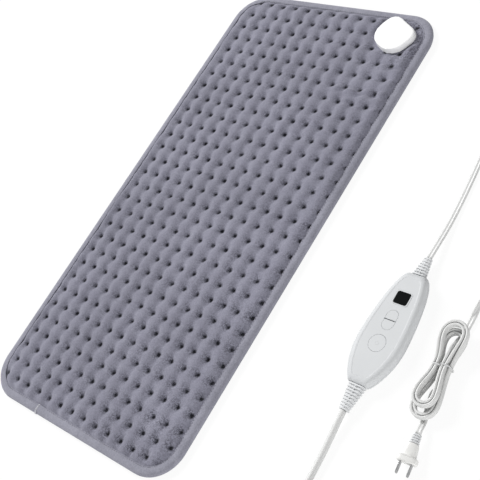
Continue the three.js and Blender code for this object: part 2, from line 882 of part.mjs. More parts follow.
// Ribbed strain relief along +Z: a tapered core, ribs round it and a spine across them.
function strainRelief({ base, height, tip, tipHeight, length, ribs, corners = 2 }) {
  const width = (level) => THREE.MathUtils.lerp(base, tip, level / length);
  const tall = (level) => THREE.MathUtils.lerp(height, tipHeight, level / length);
  const thin = 2 * reliefRibDepth;
  let body = solid(skin([
    reliefRing(0, base - thin, height - thin, corners),
    reliefRing(length, tip - thin / 2, tipHeight - thin / 2, corners),
  ]));
  const first = clearance;
  const pitch = (length - first - reliefRib) / (ribs - 1);
  for (let i = 0; i < ribs; i += 1) {
    const low = first + pitch * i;
    const rib = [low, low + reliefRib].map((level) => reliefRing(level, width(level), tall(level), corners));
    body = body.add(solid(skin(rib)));
  }
  const spine = [first, length].map((level) => reliefRing(level, reliefSpine, tall(level) - clearance, 1));
  return body.add(solid(skin(spine)));
}

const farRelief = {
  base: farReliefBase,
  height: reliefHeight,
  tip: farReliefTip,
  tipHeight: reliefTipHeight,
  length: farReliefLength,
  ribs: farReliefRibs,
};
const nearRelief = {
  ...farRelief,
  base: nearReliefBase,
  tip: nearReliefTip,
  tipHeight: reliefHeight,
  length: nearReliefLength,
  ribs: nearReliefRibs,
};

// Geometry built along +Z, laid along +Y or -Y and moved to a place.
function laid(geometry, direction, x, y, z) {
  geometry.rotateX((-direction * Math.PI) / 2);
  geometry.translate(x, y, z);
  return geometry;
}

function anchorCut(spec, direction) {
  const anchor = geometryOf(reliefAnchor(spec, clearance, overcut));
  return solid(laid(anchor, direction, 0, direction * caseEnd, reliefAxis));
}

function caseShell(upper) {
  const half = upper
    ? box(2 * caseWidth, 2 * caseLength, caseParting + clearance / 2, 2 * caseHeight)
    : box(2 * caseWidth, 2 * caseLength, -overcut, caseParting - clearance / 2);
  const shell = caseBody().subtract(caseHollow()).intersect(solid(half));
  return shell.subtract(anchorCut(farRelief, 1)).subtract(anchorCut(nearRelief, -1));
}

const bossSplit = caseParting;

function caseBottom() {
  let shell = caseShell(false);
  for (const y of screwPlaces) {
    const boss = plate(moved(circle(caseBossDiameter), 0, y), caseWall / 2, bossSplit - clearance / 2);
    const shank = plate(moved(circle(screwShank + 2 * clearance), 0, y), -overcut, caseHeight);
    const headTop = caseScrewBottom + screwHeadHeight + clearance;
    const head = plate(moved(circle(screwHead + 2 * clearance), 0, y), -overcut, headTop);
    shell = shell.add(solid(boss)).subtract(solid(shank)).subtract(solid(head));
  }
  for (const x of [-standoffSpacingX / 2, standoffSpacingX / 2]) {
    for (const y of [-standoffSpacingY / 2, standoffSpacingY / 2]) {
      const post = plate(moved(circle(standoffDiameter, 8), x, y), caseWall / 2, boardHeight - clearance);
      shell = shell.add(solid(post));
    }
  }
  return geometryOf(shell);
}

function levelAperture() {
  const upper = levelHalf(clearance, 0).slice(2);
  const lower = upper.map((point) => new THREE.Vector2(-point.x, -point.y));
  return moved([...upper, ...lower], 0, along(levelPlace));
}

const displayOutline = evenlyRounded(displayWidth, displayLength, displayCorner);

function caseTop() {
  let shell = caseShell(true);
  const window = moved(displayOutline, 0, along(displayPlace));
  const frame = turnedOutline(inset(window, -clearance), [
    [roofLevel + caseWall / 2, -displayFrame],
    [faceLevel, -displayFrame],
    [faceLevel + displayFrameRise, -displayFrame * 0.75],
    [faceLevel + displayFrameRise, 0],
  ]);
  shell = shell.add(solid(frame));
  for (const y of screwPlaces) {
    const boss = moved(circle(caseBossDiameter), 0, y);
    const post = plate(boss, bossSplit + clearance / 2, roofLevel + caseWall / 2);
    const bore = plate(moved(circle(screwShank + 2 * clearance), 0, y), 0, roofLevel);
    shell = shell.add(solid(post)).subtract(solid(bore));
  }
  const apertures = [
    inset(window, -clearance),
    levelAperture(),
    moved(circle(powerDiameter + 2 * clearance, 2 * roundSteps), 0, along(powerPlace)),
  ];
  for (const outline of apertures) {
    shell = shell.subtract(solid(plate(outline, boardTop, 2 * caseHeight)));
  }
  return geometryOf(shell);
}

function displayWindow() {
  return turnedOutline(moved(displayOutline, 0, along(displayPlace)), [
    [flangeBottom, -flangeWidth],
    [flangeTop, -flangeWidth],
    [flangeTop, 0],
    [faceLevel, 0],
  ]);
}

// Keycap with a flange that holds it under the case's roof and a stem over its switch.
function key(capOutline, flangeOutline, stemY) {
  const top = faceLevel + buttonProud;
  const cap = turnedOutline(capOutline, [[flangeBottom, 0], [top - buttonEdge, 0], [top, buttonEdge]]);
  const flange = plate(flangeOutline, flangeBottom, flangeTop);
  const stem = plate(moved(circle(stemDiameter, 12), 0, stemY), plungerTop + clearance, flangeTop);
  return geometryOf(solid(cap).add(solid(flange)).add(solid(stem)));
}

function powerKey() {
  const y = along(powerPlace);
  const cap = moved(circle(powerDiameter, 2 * roundSteps), 0, y);
  return key(cap, inset(cap, -flangeWidth), y);
}

// The two level keys are one shape, turned half round for the lower one.
function levelKey(direction) {
  const stemY = levelLength / 4;
  const geometry = key(levelHalf(0, levelSplit / 2), levelHalf(flangeWidth, levelSplit / 2), stemY);
  if (direction < 0) geometry.rotateZ(Math.PI);
  geometry.translate(0, along(levelPlace), 0);
  return geometry;
}

function switchBody(y) {
  const outline = moved(evenlyRounded(switchSize, switchSize, 0.6, 1), 0, y);
  const well = moved(circle(plungerDiameter + 2 * clearance, 12), 0, y);
  const wellBottom = plungerBottom - buttonTravel - clearance;
  const body = solid(plate(outline, partLevel, switchTop));
  return geometryOf(body.subtract(solid(plate(well, wellBottom, caseHeight))));
}

function switchPlunger(y) {
  return plate(moved(circle(plungerDiameter, 12), 0, y), plungerBottom, plungerTop);
}

function circuitBoard() {
  const span = 2 * (caseEnd - caseEndBlock - clearance);
  const keep = solid(box(caseWidth, span, 0, caseHeight));
  let board = solid(plate(inset(controllerOutline, boardInset), boardHeight, boardTop)).intersect(keep);
  for (const y of screwPlaces) {
    const notch = plate(moved(circle(caseBossDiameter + 4 * clearance), 0, y), 0, caseHeight);
    board = board.subtract(solid(notch));
  }
  return geometryOf(board);
}

function mainsFuse() {
  const radius = mainsFuseDiameter / 2;
  const y = along(componentPlace) - mainsFuseLength / 2;
  const body = turnedOutline(circle(mainsFuseDiameter, 10), [[0, 0.2], [0.5, 0], [mainsFuseLength, 0]]);
  return laid(body, 1, -componentSpread, y, partLevel + radius);
}

function buildController() {
  const controller = new THREE.Group();
  controller.position.set(caseX, caseY, 0);
  model.add(controller);
  const put = (name, geometry, ...look) => add(name, geometry, ...look, controller);
  put('case_bottom', caseBottom(), casePlastic, 0.5, 0);
  put('case_top', caseTop(), casePlastic, 0.45, 0);
  put('display_window', displayWindow(), blackGlass, 0.12, 0);
  const moduleOutline = moved(evenlyRounded(moduleWidth, moduleLength, 0.6, 1), 0, along(displayPlace));
  put('display_module', plate(moduleOutline, partLevel, flangeBottom - clearance), 0x232327, 0.6, 0);
  put('circuit_board', circuitBoard(), boardGreen, 0.6, 0);
  const keys = {
    power: [powerKey(), along(powerPlace)],
    level_up: [levelKey(1), along(levelPlace) + levelLength / 4],
    level_down: [levelKey(-1), along(levelPlace) - levelLength / 4],
  };
  for (const [name, [cap, y]] of Object.entries(keys)) {
    put(`${name}_button`, cap, casePlastic, 0.45, 0);
    put(`${name}_switch`, switchBody(y), 0x2b2b2f, 0.5, 0);
    put(`${name}_plunger`, switchPlunger(y), 0x55565a, 0.5, 0);
  }
  const place = along(componentPlace);
  const triac = box(triacWidth, triacLength, partLevel, partLevel + triacHeight, 0, place);
  put('triac', triac, 0x1f1f22, 0.45, 0);
  const capacitorOutline = evenlyRounded(capacitorWidth, capacitorLength, 1, 1);
  const capacitorTop = partLevel + capacitorHeight;
  const capacitor = plate(moved(capacitorOutline, componentSpread, place), partLevel, capacitorTop);
  put('capacitor', capacitor, 0xa8842c, 0.5, 0);
  put('mains_fuse', mainsFuse(), 0xc8c2a8, 0.3, 0);
  screwPlaces.forEach((y, i) => {
    const length = roofLevel - clearance - caseScrewBottom;
    const mesh = put(`case_screw_${i + 1}`, screw(caseScrewBottom, length), steel, 0.35, 1);
    mesh.position.set(0, y, 0);
  });
  const anchored = (spec) => geometryOf(strainRelief(spec).add(reliefAnchor(spec, 0, clearance)));
  const far = laid(anchored(farRelief), 1, 0, caseEnd, reliefAxis);
  put('mains_strain_relief', far, greyRubber, 0.6, 0);
  const near = laid(anchored(nearRelief), -1, 0, -caseEnd, reliefAxis);
  put('pad_strain_relief', near, greyRubber, 0.6, 0);
}

// Section of the flat twin lead: flat sides and round edges.
function flatSection(sides) {
  const outline = [];
  const half = sides / 2;
  for (let i = 0; i < sides; i += 1) {
    const side = i < half ? 1 : -1;
    const angle = side * Math.PI * ((i % half) / (half - 1) - 0.5);
    const reach = (flatWidth - flatThickness) / 2 + (flatThickness / 2) * Math.cos(angle);
    outline.push(new THREE.Vector2(side * reach, (flatThickness / 2) * Math.sin(angle)));
  }
  return outline;
}

// Share of the hank's loop that is drawn in, so that its waist and its ends have the widths given.
function hankDraw() {
  let low = 1 / 3;
  let high = 1;
  for (let i = 0; i < 40; i += 1) {
    const middle = (low + high) / 2;
    const ratio = 1.5 * (1 - middle) * Math.sqrt(3 * middle);
    if (ratio > hankWaist / hankInnerWidth) low = middle;
    else high = middle;
  }
  return low;
}

// Adds a straight end, one tube diameter long, before the first and after the last station.
function withStraightEnds(stations, diameter) {
  const end = (last, before) => {
    const direction = last.clone().sub(before).normalize();
    return last.clone().addScaledVector(direction, diameter);
  };
  const count = stations.length;
  return [end(stations[0], stations[1]), ...stations, end(stations[count - 1], stations[count - 2])];
}

// Hank: out on the upper layer, down along the right run, and in again on the lower layer.
function hankRoute() {
  const draw = hankDraw();
  const spread = hankWaist / 2 / (1 - draw);
  const reach = hankInnerLength / 2;
  const total = 2 * hankTurns + 0.5;
  const station = (turn) => {
    const angle = -2 * Math.PI * turn;
    const [c, s] = [Math.cos(angle), Math.sin(angle)];
    const normal = new THREE.Vector2(reach * c, spread * s * (1 - 3 * draw * c * c)).normalize();
    const out = hankPitch * THREE.MathUtils.clamp(Math.min(turn, total - turn), 0, total);
    const x = spread * c * (1 - draw * c * c) + normal.x * out;
    const y = reach * s + normal.y * out;
    const rise = THREE.MathUtils.smoothstep(Math.abs(y), hankRiseStart * reach, hankRiseEnd * reach);
    const lift = THREE.MathUtils.lerp(hankWaistLift, hankEndLift, rise);
    const layer = 1 - THREE.MathUtils.smoothstep(turn, hankTurns, hankTurns + 0.5);
    const sag = hankSag * THREE.MathUtils.smoothstep(-y, 0, reach);
    const slipped = new THREE.Vector2(x, y - (hankSlip + sag) * (1 - layer));
    const place = slipped.rotateAround(new THREE.Vector2(), hankTurn);
    const height = lift + flatWidth / 2 + hankLayerPitch * layer;
    return new THREE.Vector3(hankX + place.x, hankY + place.y, height);
  };
  const stations = [station(-hankStart)];
  for (let i = 0; i <= total * loopSteps; i += 1) stations.push(station(i / loopSteps));
  stations.push(station(total + hankStart));
  return new Route(withStraightEnds(stations, flatWidth), () => Math.PI / 2);
}

// Coil: in on the lower layer, up in the half turn where it reverses, and out on the upper layer.
const coilLift = tieThickness + 2 * clearance;

function coilStation(turn) {
  const total = 2 * coilTurns + 0.5;
  const angle = Math.PI + 2 * Math.PI * turn;
  const radius = coilRadius - coilPitch * Math.min(turn, total - turn);
  const layer = THREE.MathUtils.smoothstep(turn, coilTurns, coilTurns + 0.5);
  return new THREE.Vector3(
    coilX + radius * Math.cos(angle),
    coilY + radius * Math.sin(angle),
    coilLift + roundDiameter / 2 + coilLayerPitch * layer,
  );
}

function coilRoute() {
  const total = 2 * coilTurns + 0.5;
  const stations = [];
  for (let i = 0; i <= total * loopSteps; i += 1) stations.push(coilStation(i / loopSteps));
  return new Route(withStraightEnds(stations, roundDiameter));
}

// Flat tie round a bundle, given its width and height, standing across the bundle's run.
function tieBand(width, height) {
  const outline = evenlyRounded(
    width + 2 * (clearance + tieThickness),
    height + 2 * (clearance + tieThickness),
    tieCorner,
    tieSteps,
  );
  const band = turnedOutline(
    outline,
    [[0, 0], [tieWidth, 0], [tieWidth, tieThickness], [0, tieThickness]],
    true,
  );
  band.translate(0, 0, -tieWidth / 2);
  return band.rotateX(Math.PI / 2);
}

// Point a gap away from the end of a wound tube, with the tube's own direction there.
function meeting(route, atStart) {
  const { stations } = route;
  const count = stations.length;
  const [end, inner] = atStart ? [stations[0], stations[1]] : [stations[count - 1], stations[count - 2]];
  const direction = end.clone().sub(inner).normalize();
  const at = (distance) => end.clone().addScaledVector(direction, distance).toArray();
  return { gap: at(clearance), beyond: at(clearance + leadStraight) };
}

// What hangs on the controller is placed from the controller's middle.
const leads = new THREE.Group();
leads.position.set(caseX, caseY, 0);
model.add(leads);

function onLead(name, geometry, colour, roughness = 0.5, metalness = 0, parent = leads) {
  return add(name, geometry, colour, roughness, metalness, parent);
}

function buildMainsLead() {
  const hank = hankRoute();
  const entry = meeting(hank, true);
  const leave = meeting(hank, false);
  const flat = flatThickness / 2 + leadLift;
  const edge = flatWidth / 2 + leadLift;
  const exitY = caseEnd + farReliefLength + clearance;
  const lead = laidRoute([
    [0, exitY, reliefAxis, 0],
    [0, exitY + 10, reliefAxis - 0.6, 0],
    [-0.5, exitY + 28, 3.9, 0],
    [-1.5, exitY + 50, 2.15, 0],
    [-3.5, 165, flat, 0],
    [-6, 195, flat, 0],
    [-8.5, 223, flat, 0],
    [-8, 247, flat + 0.6, 15],
    [1.5, 268, flat + 1.3, 50],
    [18.5, 282, edge, 90],
    [38.5, 283, edge, 90],
    [57.5, 272, edge, 90],
    [69.5, 253, edge, 90],
    [74, 227, edge, 90],
    [74.4, 192, edge, 90],
    [73.2, 152, edge, 90],
    [71.6, 112, edge, 90],
    [70.2, 72, edge, 90],
    [69.8, 53, edge - 0.4, 55],
    [69.9, 38, flat + 0.15, 0],
    [69.7, 21, flat + 0.25, 0],
    [69.4, 15.5, flat + 1.6, 30],
    [69.5, 9.5, flat + 5, 80],
    [...entry.beyond, 90],
    [...entry.gap, 90],
  ], leadStep);
  const [plugDown, plugAcross] = [Math.cos(plugTurn), -Math.sin(plugTurn)];
  const beforePlug = (distance) => [plugX + distance * plugAcross, plugY + distance * plugDown, plugAxis, 0];
  const tail = laidRoute([
    [...leave.gap, 90],
    [...leave.beyond, 90],
    [71.8, -43, 3.6, 40],
    [72.7, -51, flat + 0.1, 0],
    [74, -59, flat, 0],
    [75.4, -66, flat, 0],
    [76.8, -71.5, flat + 1.5, 0],
    beforePlug(leadStraight - 2),
    beforePlug(clearance),
  ], tailStep);
  onLead('mains_lead', tube(flatSection(8), lead), leadColour);
  onLead('mains_hank', tube(flatSection(loopSides), hank), leadColour);
  onLead('mains_tail', tube(flatSection(8), tail), leadColour);
  const leftLane = hankWaist / 2 + hankPitch * (hankTurns - 0.25);
  const rightLane = hankWaist / 2 + hankPitch * (hankTurns + 0.25);
  const height = flatWidth + hankLayerPitch;
  const width = leftLane + rightLane + flatThickness + 2 * hankTieSlack;
  const tie = onLead('hank_tie', tieBand(width, height), tieColour, 0.6);
  tie.position.set(hankX + (rightLane - leftLane) / 2, hankY, hankWaistLift + height / 2);
  tie.rotation.z = hankTurn;
  console.log('mains_hank least gap', leastGap(flatSection(loopSides), hank).toFixed(2), 'mm');
  console.log('mains lead', lengths([lead, hank, tail]), 'mm long');
}

function plugBody() {
  const grip = plugBodyLength;
  const face = grip + plugFlangeLength;
  const rings = [
    [0, plugReliefBase, plugReliefHeight + plugNeckRise],
    [plugNeckLength, plugBodyWidth, plugHeight - 4 * plugEdge],
    [grip * plugGripPlace, plugGripWidth - plugEdge, plugHeight - 3 * plugEdge],
    [grip - plugEdge, plugGripWidth, plugHeight - 2 * plugEdge],
    [grip, plugFlangeWidth - 2 * plugEdge, plugHeight - 2 * plugEdge],
    [grip + plugEdge, plugFlangeWidth, plugHeight],
    [face - plugEdge, plugFlangeWidth, plugHeight],
    [face, plugFlangeWidth - 2 * plugEdge, plugHeight - 2 * plugEdge],
  ];
  return skin(rings.map((ring) => reliefRing(...ring)));
}

function plugBlade() {
  const half = bladeWidth / 2;
  const nose = bladeLength - half * bladeNose;
  const shape = new THREE.Shape([
    new THREE.Vector2(0, -half),
    new THREE.Vector2(nose, -half),
    new THREE.Vector2(bladeLength, -half * bladeNose),
    new THREE.Vector2(bladeLength, half * bladeNose),
    new THREE.Vector2(nose, half),
    new THREE.Vector2(0, half),
  ]);
  shape.holes.push(new THREE.Path(moved(circle(bladeHole, 12), bladeHolePlace, 0)));
  const blade = new THREE.ExtrudeGeometry(shape, { depth: bladeThickness, bevelEnabled: false, steps: 1 });
  blade.translate(0, 0, -bladeThickness / 2);
  blade.rotateX(Math.PI / 2);
  return blade.rotateZ(-Math.PI / 2);
}

function buildPlug() {
  const plug = new THREE.Group();
  plug.position.set(plugX, plugY, plugAxis);
  plug.rotation.set(0, plugRoll, plugTurn, 'ZYX');
  leads.add(plug);
  const relief = strainRelief({
    base: plugReliefBase,
    height: plugReliefHeight,
    tip: plugReliefTip,
    tipHeight: flatThickness + reliefRibDepth,
    length: plugReliefLength,
    ribs: plugReliefRibs,
    corners: 1,
  });
  const boot = laid(geometryOf(relief), 1, 0, -plugReliefLength, 0);
  onLead('plug_strain_relief', boot, leadColour, 0.5, 0, plug);
  const body = laid(plugBody(), -1, 0, -plugReliefLength - clearance, 0);
  onLead('plug_body', body, leadColour, 0.45, 0, plug);
  const face = -plugReliefLength - 2 * clearance - plugBodyLength - plugFlangeLength;
  [['left', -1], ['right', 1]].forEach(([side, sign]) => {
    const blade = onLead(`plug_blade_${side}`, plugBlade(), steel, 0.3, 1, plug);
    blade.position.set((sign * bladeSpacing) / 2, face, 0);
  });
}

function connectorBody() {
  const end = connectorBodyLength;
  const shell = skin([
    [0, connectorReliefBase, connectorHeight - 2 * connectorEdge],
    [connectorShoulder, connectorShoulderWidth, connectorHeight - connectorEdge],
    [connectorTaper, connectorBodyWidth - connectorEdge, connectorHeight],
    [end - connectorEdge, connectorBodyWidth, connectorHeight],
    [end, connectorBodyWidth - 2 * connectorEdge, connectorHeight - 2 * connectorEdge],
  ].map((ring) => reliefRing(...ring)));
  const tongueWidth = mouthWidth - 2 * clearance;
  const tongueHeight = socketHeight - 2 * clearance;
  const tongue = plate(evenlyRounded(tongueWidth, tongueHeight, 1, 2), end - overcut, end + tongueLength);
  let body = solid(shell).add(solid(tongue));
  for (let i = 0; i < pinCount; i += 1) {
    const bore = moved(circle(contactOuter + 2 * contactFit, 10), (i - (pinCount - 1) / 2) * pinPitch, 0);
    const face = end + tongueLength;
    body = body.subtract(solid(plate(bore, face - contactDepth, face + overcut)));
  }
  return geometryOf(body);
}

function buildPadLead() {
  const coil = coilRoute();
  const entry = meeting(coil, true);
  const leave = meeting(coil, false);
  const exitY = -caseEnd - nearReliefLength - clearance;
  const floor = roundDiameter / 2 + leadLift;
  const lead = laidRoute([
    [0, exitY, reliefAxis, 0],
    [0.2, exitY - 10, reliefAxis - 0.6, 0],
    [0.8, exitY - 28, 4.3, 0],
    [1.6, exitY - 48, floor, 0],
    [2.3, -165, floor, 0],
    [...entry.beyond, 0],
    [...entry.gap, 0],
  ], roundDiameter);
  const axis = connectorHeight / 2;
  const tail = laidRoute([
    [...leave.gap, 0],
    [...leave.beyond, 0],
    [66.5, -255, 8.4, 0],
    [79.5, -245, 5.8, 0],
    [89, -231, axis, 0],
    [connectorX - 0.4, connectorY - 8, axis, 0],
    [connectorX, connectorY - clearance, axis, 0],
  ], roundDiameter);
  onLead('pad_lead', tube(circle(roundDiameter, roundSides), lead), leadColour);
  onLead('pad_lead_coil', tube(circle(roundDiameter, loopSides), coil), leadColour);
  onLead('pad_lead_tail', tube(circle(roundDiameter, roundSides), tail), leadColour);

  const crossings = [];
  const tieTurn = coilTieAngle / (2 * Math.PI) - 0.5;
  for (let turn = tieTurn + 1; turn < 2 * coilTurns + 0.5; turn += 1) crossings.push(coilStation(turn));
  const radii = crossings.map((point) => Math.hypot(point.x - coilX, point.y - coilY));
  const inner = Math.min(...radii);
  const outer = Math.max(...radii);
  const height = roundDiameter + coilLayerPitch;
  const tie = onLead('coil_tie', tieBand(outer - inner + roundDiameter, height), tieColour, 0.6);
  const middle = (inner + outer) / 2;
  tie.position.set(
    coilX + middle * Math.cos(coilTieAngle),
    coilY + middle * Math.sin(coilTieAngle),
    coilLift + height / 2,
  );
  tie.rotation.z = coilTieAngle;

  const relief = strainRelief({
    base: connectorReliefBase,
    height: connectorHeight - 1.6,
    tip: connectorReliefTip,
    tipHeight: roundDiameter + reliefRibDepth / 2,
    length: connectorReliefLength,
    ribs: connectorReliefRibs,
    corners: 1,
  });
  const bodyY = connectorY + connectorReliefLength + clearance;
  const reliefY = connectorY + connectorReliefLength;
  const boot = laid(geometryOf(relief), -1, connectorX, reliefY, axis);
  onLead('connector_strain_relief', boot, greyRubber);
  onLead('connector_body', laid(connectorBody(), 1, connectorX, bodyY, axis), whitePlastic, 0.4);
  const contactLength = contactDepth - 2 * contactFit;
  for (let i = 0; i < pinCount; i += 1) {
    const contact = turnedOutline(
      circle(contactOuter, 10),
      [[0, 0], [contactLength, 0], [contactLength, contactWall], [0, contactWall]],
      true,
    );
    const x = connectorX + (i - (pinCount - 1) / 2) * pinPitch;
    const y = bodyY + connectorBodyLength + tongueLength - contactDepth + contactFit;
    onLead(`connector_contact_${i + 1}`, laid(contact, 1, x, y, axis), brass, 0.3, 1);
  }
  console.log('pad_lead_coil least gap', leastGap(circle(roundDiameter, loopSides), coil).toFixed(2), 'mm');
  console.log('pad lead', lengths([lead, coil, tail]), 'mm long');
}

buildPad();
buildSocket();
buildController();
buildMainsLead();
buildPlug();
buildPadLead();

export default model;
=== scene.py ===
import math

import bmesh
import bpy
import numpy as np
from mathutils import Matrix, Vector, noise


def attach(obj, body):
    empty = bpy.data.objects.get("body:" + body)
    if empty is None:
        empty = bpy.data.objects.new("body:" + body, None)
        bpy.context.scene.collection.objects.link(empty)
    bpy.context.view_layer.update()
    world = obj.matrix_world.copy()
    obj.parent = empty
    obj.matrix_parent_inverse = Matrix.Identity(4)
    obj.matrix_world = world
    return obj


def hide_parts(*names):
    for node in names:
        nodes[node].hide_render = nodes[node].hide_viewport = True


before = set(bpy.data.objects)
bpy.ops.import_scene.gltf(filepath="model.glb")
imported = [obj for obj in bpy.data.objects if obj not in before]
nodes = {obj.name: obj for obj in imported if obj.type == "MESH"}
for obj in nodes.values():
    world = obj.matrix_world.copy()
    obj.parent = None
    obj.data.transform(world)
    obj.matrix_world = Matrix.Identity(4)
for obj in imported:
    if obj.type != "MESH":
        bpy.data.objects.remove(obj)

for leftover in ("Cube", "Light", "Camera"):
    if leftover in bpy.data.objects:
        bpy.data.objects.remove(bpy.data.objects[leftover])

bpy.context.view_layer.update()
scene = bpy.context.scene
MM = 0.001

# Camera fitted to the photograph: its film and place in millimetres, and its axes.
CAMERA_FILM = 36.0
CAMERA_LENS = 75.9
CAMERA_PLACE = (791.77, -318.63, 818.81)
CAMERA_RIGHT = (0.72237, 0.51243, -0.46432)
CAMERA_UP = (-0.25039, 0.81973, 0.51512)
CAMERA_BACK = (0.64458, -0.25585, 0.72046)

# Studio, in metres.
SKY_LIGHT = 0.36
FLOOR_REACH = 4.0
FLOOR_LEVEL = -0.0002
FLOOR_GLOW = 1.03
FLOOR_GLOW_SHARE = 0.88
LAMP_AIM = (0.1, 0.0, 0.0)

# Copies of solids: how near points are welded, and angles for flat facets, broken edges and sharp edges.
WELD = 2e-6
FLAT_ANGLE = math.radians(0.8)
EDGE_ANGLE = math.radians(28)
SHELL_ANGLE = math.radians(32)

# Pad, in millimetres from its middle; the pad lies on the floor at z = 0.
PAD_WIDTH = 305.0
PAD_LENGTH = 610.0
PAD_CORNER = 42.0
BINDING_WIDTH = 10.5
HEM_INSET = 4.3
HEM_BOTTOM = 1.25
HEM_TOP = 6.8
FRONT_BOTTOM = 6.1
TUFT_LEVEL = 7.0
PILLOW_RISE = 4.3
TUFT_PITCH_X = 20.65
TUFT_PITCH_Y = 19.7
TUFT_TURN = math.radians(-0.9)
TUFT_X = 6.8
TUFT_Y = 1.8
TUFT_COLUMNS = 14
TUFT_ROWS = 30
KNOT_SIZE = (3.0, 2.0, 1.1)
FRONT_GRID = 2.0
BACK_GRID = 3.5
BACK_TOP = 1.9
BACK_LOW = 0.15
BACK_PIT = 0.6
BACK_PIT_RADIUS = 3.0
BACK_ROUGH = 0.12
FELT_GRID = 5.0
FELT_INSET = 6.0
FELT_THICKNESS = 0.8
FELT_MARGIN = 0.1
FELT_ROUGH = 0.08
LOWER_FELT_BOTTOM = 2.2
UPPER_FELT_BOTTOM = 5.0

# Quilt: its valleys, rows and pits as shares of a pillow's rise, and its unevenness.
VALLEY_SHARE = 0.3
ROW_SHARE = 0.14
PIT_SHARE = 0.7
PIT_RADIUS = 3.4
UNEVEN_SHARE = 0.4
UNEVEN_SCALE = 24.0
ROUGH_RISE = 0.3
ROUGH_SCALE = 9.0
HEM_FADE = 4.5
HEM_FADE_LEFT = 1.2
# Radius of the painted shade in each tuft pit.
TUFT_PIT_SHADE_RADIUS = 2.0
# Offset and radius of the painted shade on the -x side of each tuft.
TUFT_SIDE_SHADE_OFFSET = 2.5
TUFT_SIDE_SHADE_RADIUS = 4.8
PATCH_SCALE = 30.0
# Reach of the painted shade beside the socket.
SOCKET_SHADE_REACH = 34.0

# Creases: start, end and depth of each, then the shape they share.
CREASES = (
    ((84.0, 178.0), (143.0, 185.0), 3.6),
    ((58.0, 178.0), (86.0, 183.0), 2.2),
    ((104.0, 219.0), (140.0, 224.0), 2.4),
)
CREASE_WIDTH = 2.2
CREASE_FADE = 6.0
CREASE_WAVER = 2.0
CREASE_WAVER_LENGTH = 7.0
RIDGE_SHARE = 0.6
RIDGE_OFFSET = 5.0
RIDGE_WIDTH = 3.0

# Cloth run that fills the quilt, in enlarged units so that small pillows behave.
RUN_SCALE = 10.0
RUN_FRAMES = 20
RUN_GROWTH = 0.04
RUN_PRESSURE = 20.0
RUN_REACH = 3.0
SEWN_RADIUS = 1.5

# Socket on the pad.
SOCKET_X = 103.8
SOCKET_Y = 268.1
SOCKET_TURN = math.radians(-28)
COVER_WIDTH = 52.0
COVER_LENGTH = 42.4
COVER_CORNER = 16.0
PRESSED_LEVEL = 7.8
PRESSED_REACH = 11.0

# Controller, and the leads from it, are placed from the controller's middle.
CASE_X = 289.5
CASE_Y = -67.0
CASE_END = 62.0
CLEARANCE = 0.3
CASE_LENGTH = 124.0
CASE_WIDTH = 53.0
CASE_WIDEST = 0.629 * CASE_LENGTH
CASE_FAR_END = 17.0
CASE_NEAR_END = 21.0
CASE_FAR_SHOULDER = 12.5
CASE_NEAR_SHOULDER = 2.0
CASE_FAR_REACH = 17.7
CASE_NEAR_REACH = 25.0
CASE_SPLIT = 6.55
CASE_RIM = 13.8
CASE_FACE = 13.6
CASE_WALL = 1.8
CASE_SHOULDER = 6.4
CASE_ROUND = 0.84
CASE_ROOF = CASE_FACE - CASE_WALL
CASE_SCREW_SPACING = CASE_LENGTH - 32.0
POST_RADIUS = 3.5
POST_BORE = 1.6
# Steps down from the rim to the sunk face: height, and inset past the shoulder.
CASE_STEP = ((CASE_RIM, 0.5), (CASE_FACE + 0.05, 0.75), (CASE_FACE, 1.1))
# Inside of the shell: depth under its roof, and inset from the outline.
CASE_HOLLOW = ((0.0, CASE_SHOULDER + 3.5), (1.3, CASE_WALL + 1.6), (3.0, CASE_WALL + 0.4))
KEY_GAP = 0.15
FRAME_WIDTH = 1.2
FRAME_RISE = 0.35
RELIEF_AXIS = 6.4
FAR_RELIEF = 20.6
NEAR_RELIEF = 27.5
KEY_TOP = 13.75
POWER_Y = CASE_Y - 18.6
POWER_RADIUS = 1.9
ICON_GAP = math.radians(38)
PRINT_WIDTH = 0.4
PRINT_HEIGHT = 0.04

# Flat mains lead and its hank.
FLAT_WIDTH = 6.2
FLAT_THICKNESS = 2.8
GROOVE_SHARE = 0.62
LEAD_LIFT = 0.2
LEAD_STRAIGHT = 8.0
HANK_X = 68.8
HANK_Y = -15.6
HANK_TURN = math.radians(3.4)
HANK_INNER_LENGTH = 78.0
HANK_SLIP = 4.0
HANK_SAG = 3.2
HANK_INNER_WIDTH = 14.2
HANK_WAIST = 3.9
HANK_TURNS = 1.75
HANK_PITCH = 3.3
HANK_LAYER = 6.8
HANK_WAIST_LIFT = 1.2
HANK_END_LIFT = 3.6
HANK_START = 0.012
TIE_WIRE = 1.5
PLUG_X = 79.2
PLUG_Y = -81.9
PLUG_TURN = math.radians(6.5)
PLUG_AXIS = 6.8

# Round pad lead and its coil.
ROUND_DIAMETER = 6.5
COIL_X = 40.5
COIL_Y = -221.0
COIL_RADIUS = 38.0
COIL_TURNS = 1.375
COIL_PITCH = 7.2
COIL_LIFT = 1.2
COIL_LAYER = 7.2


def lerp(a, b, share):
    return a + (b - a) * share


def smoothstep(x, low, high):
    share = np.clip((np.asarray(x, float) - low) / (high - low), 0.0, 1.0)
    return share * share * (3.0 - 2.0 * share)


def turned(x, y, angle):
    cos, sin = math.cos(angle), math.sin(angle)
    return cos * x - sin * y, sin * x + cos * y


def added(name, data):
    made = bpy.data.objects.new(name, data)
    scene.collection.objects.link(made)
    return made


# Camera at the photograph's viewing point.
def make_camera():
    data = bpy.data.cameras.new("camera")
    data.sensor_width = CAMERA_FILM
    data.lens = CAMERA_LENS
    data.clip_start = 0.05
    data.clip_end = 30.0
    axes = Matrix((CAMERA_RIGHT, CAMERA_UP, CAMERA_BACK)).transposed()
    camera = added("camera", data)
    camera.matrix_world = Matrix.Translation(Vector(CAMERA_PLACE) * MM) @ axes.to_4x4()
    scene.camera = camera


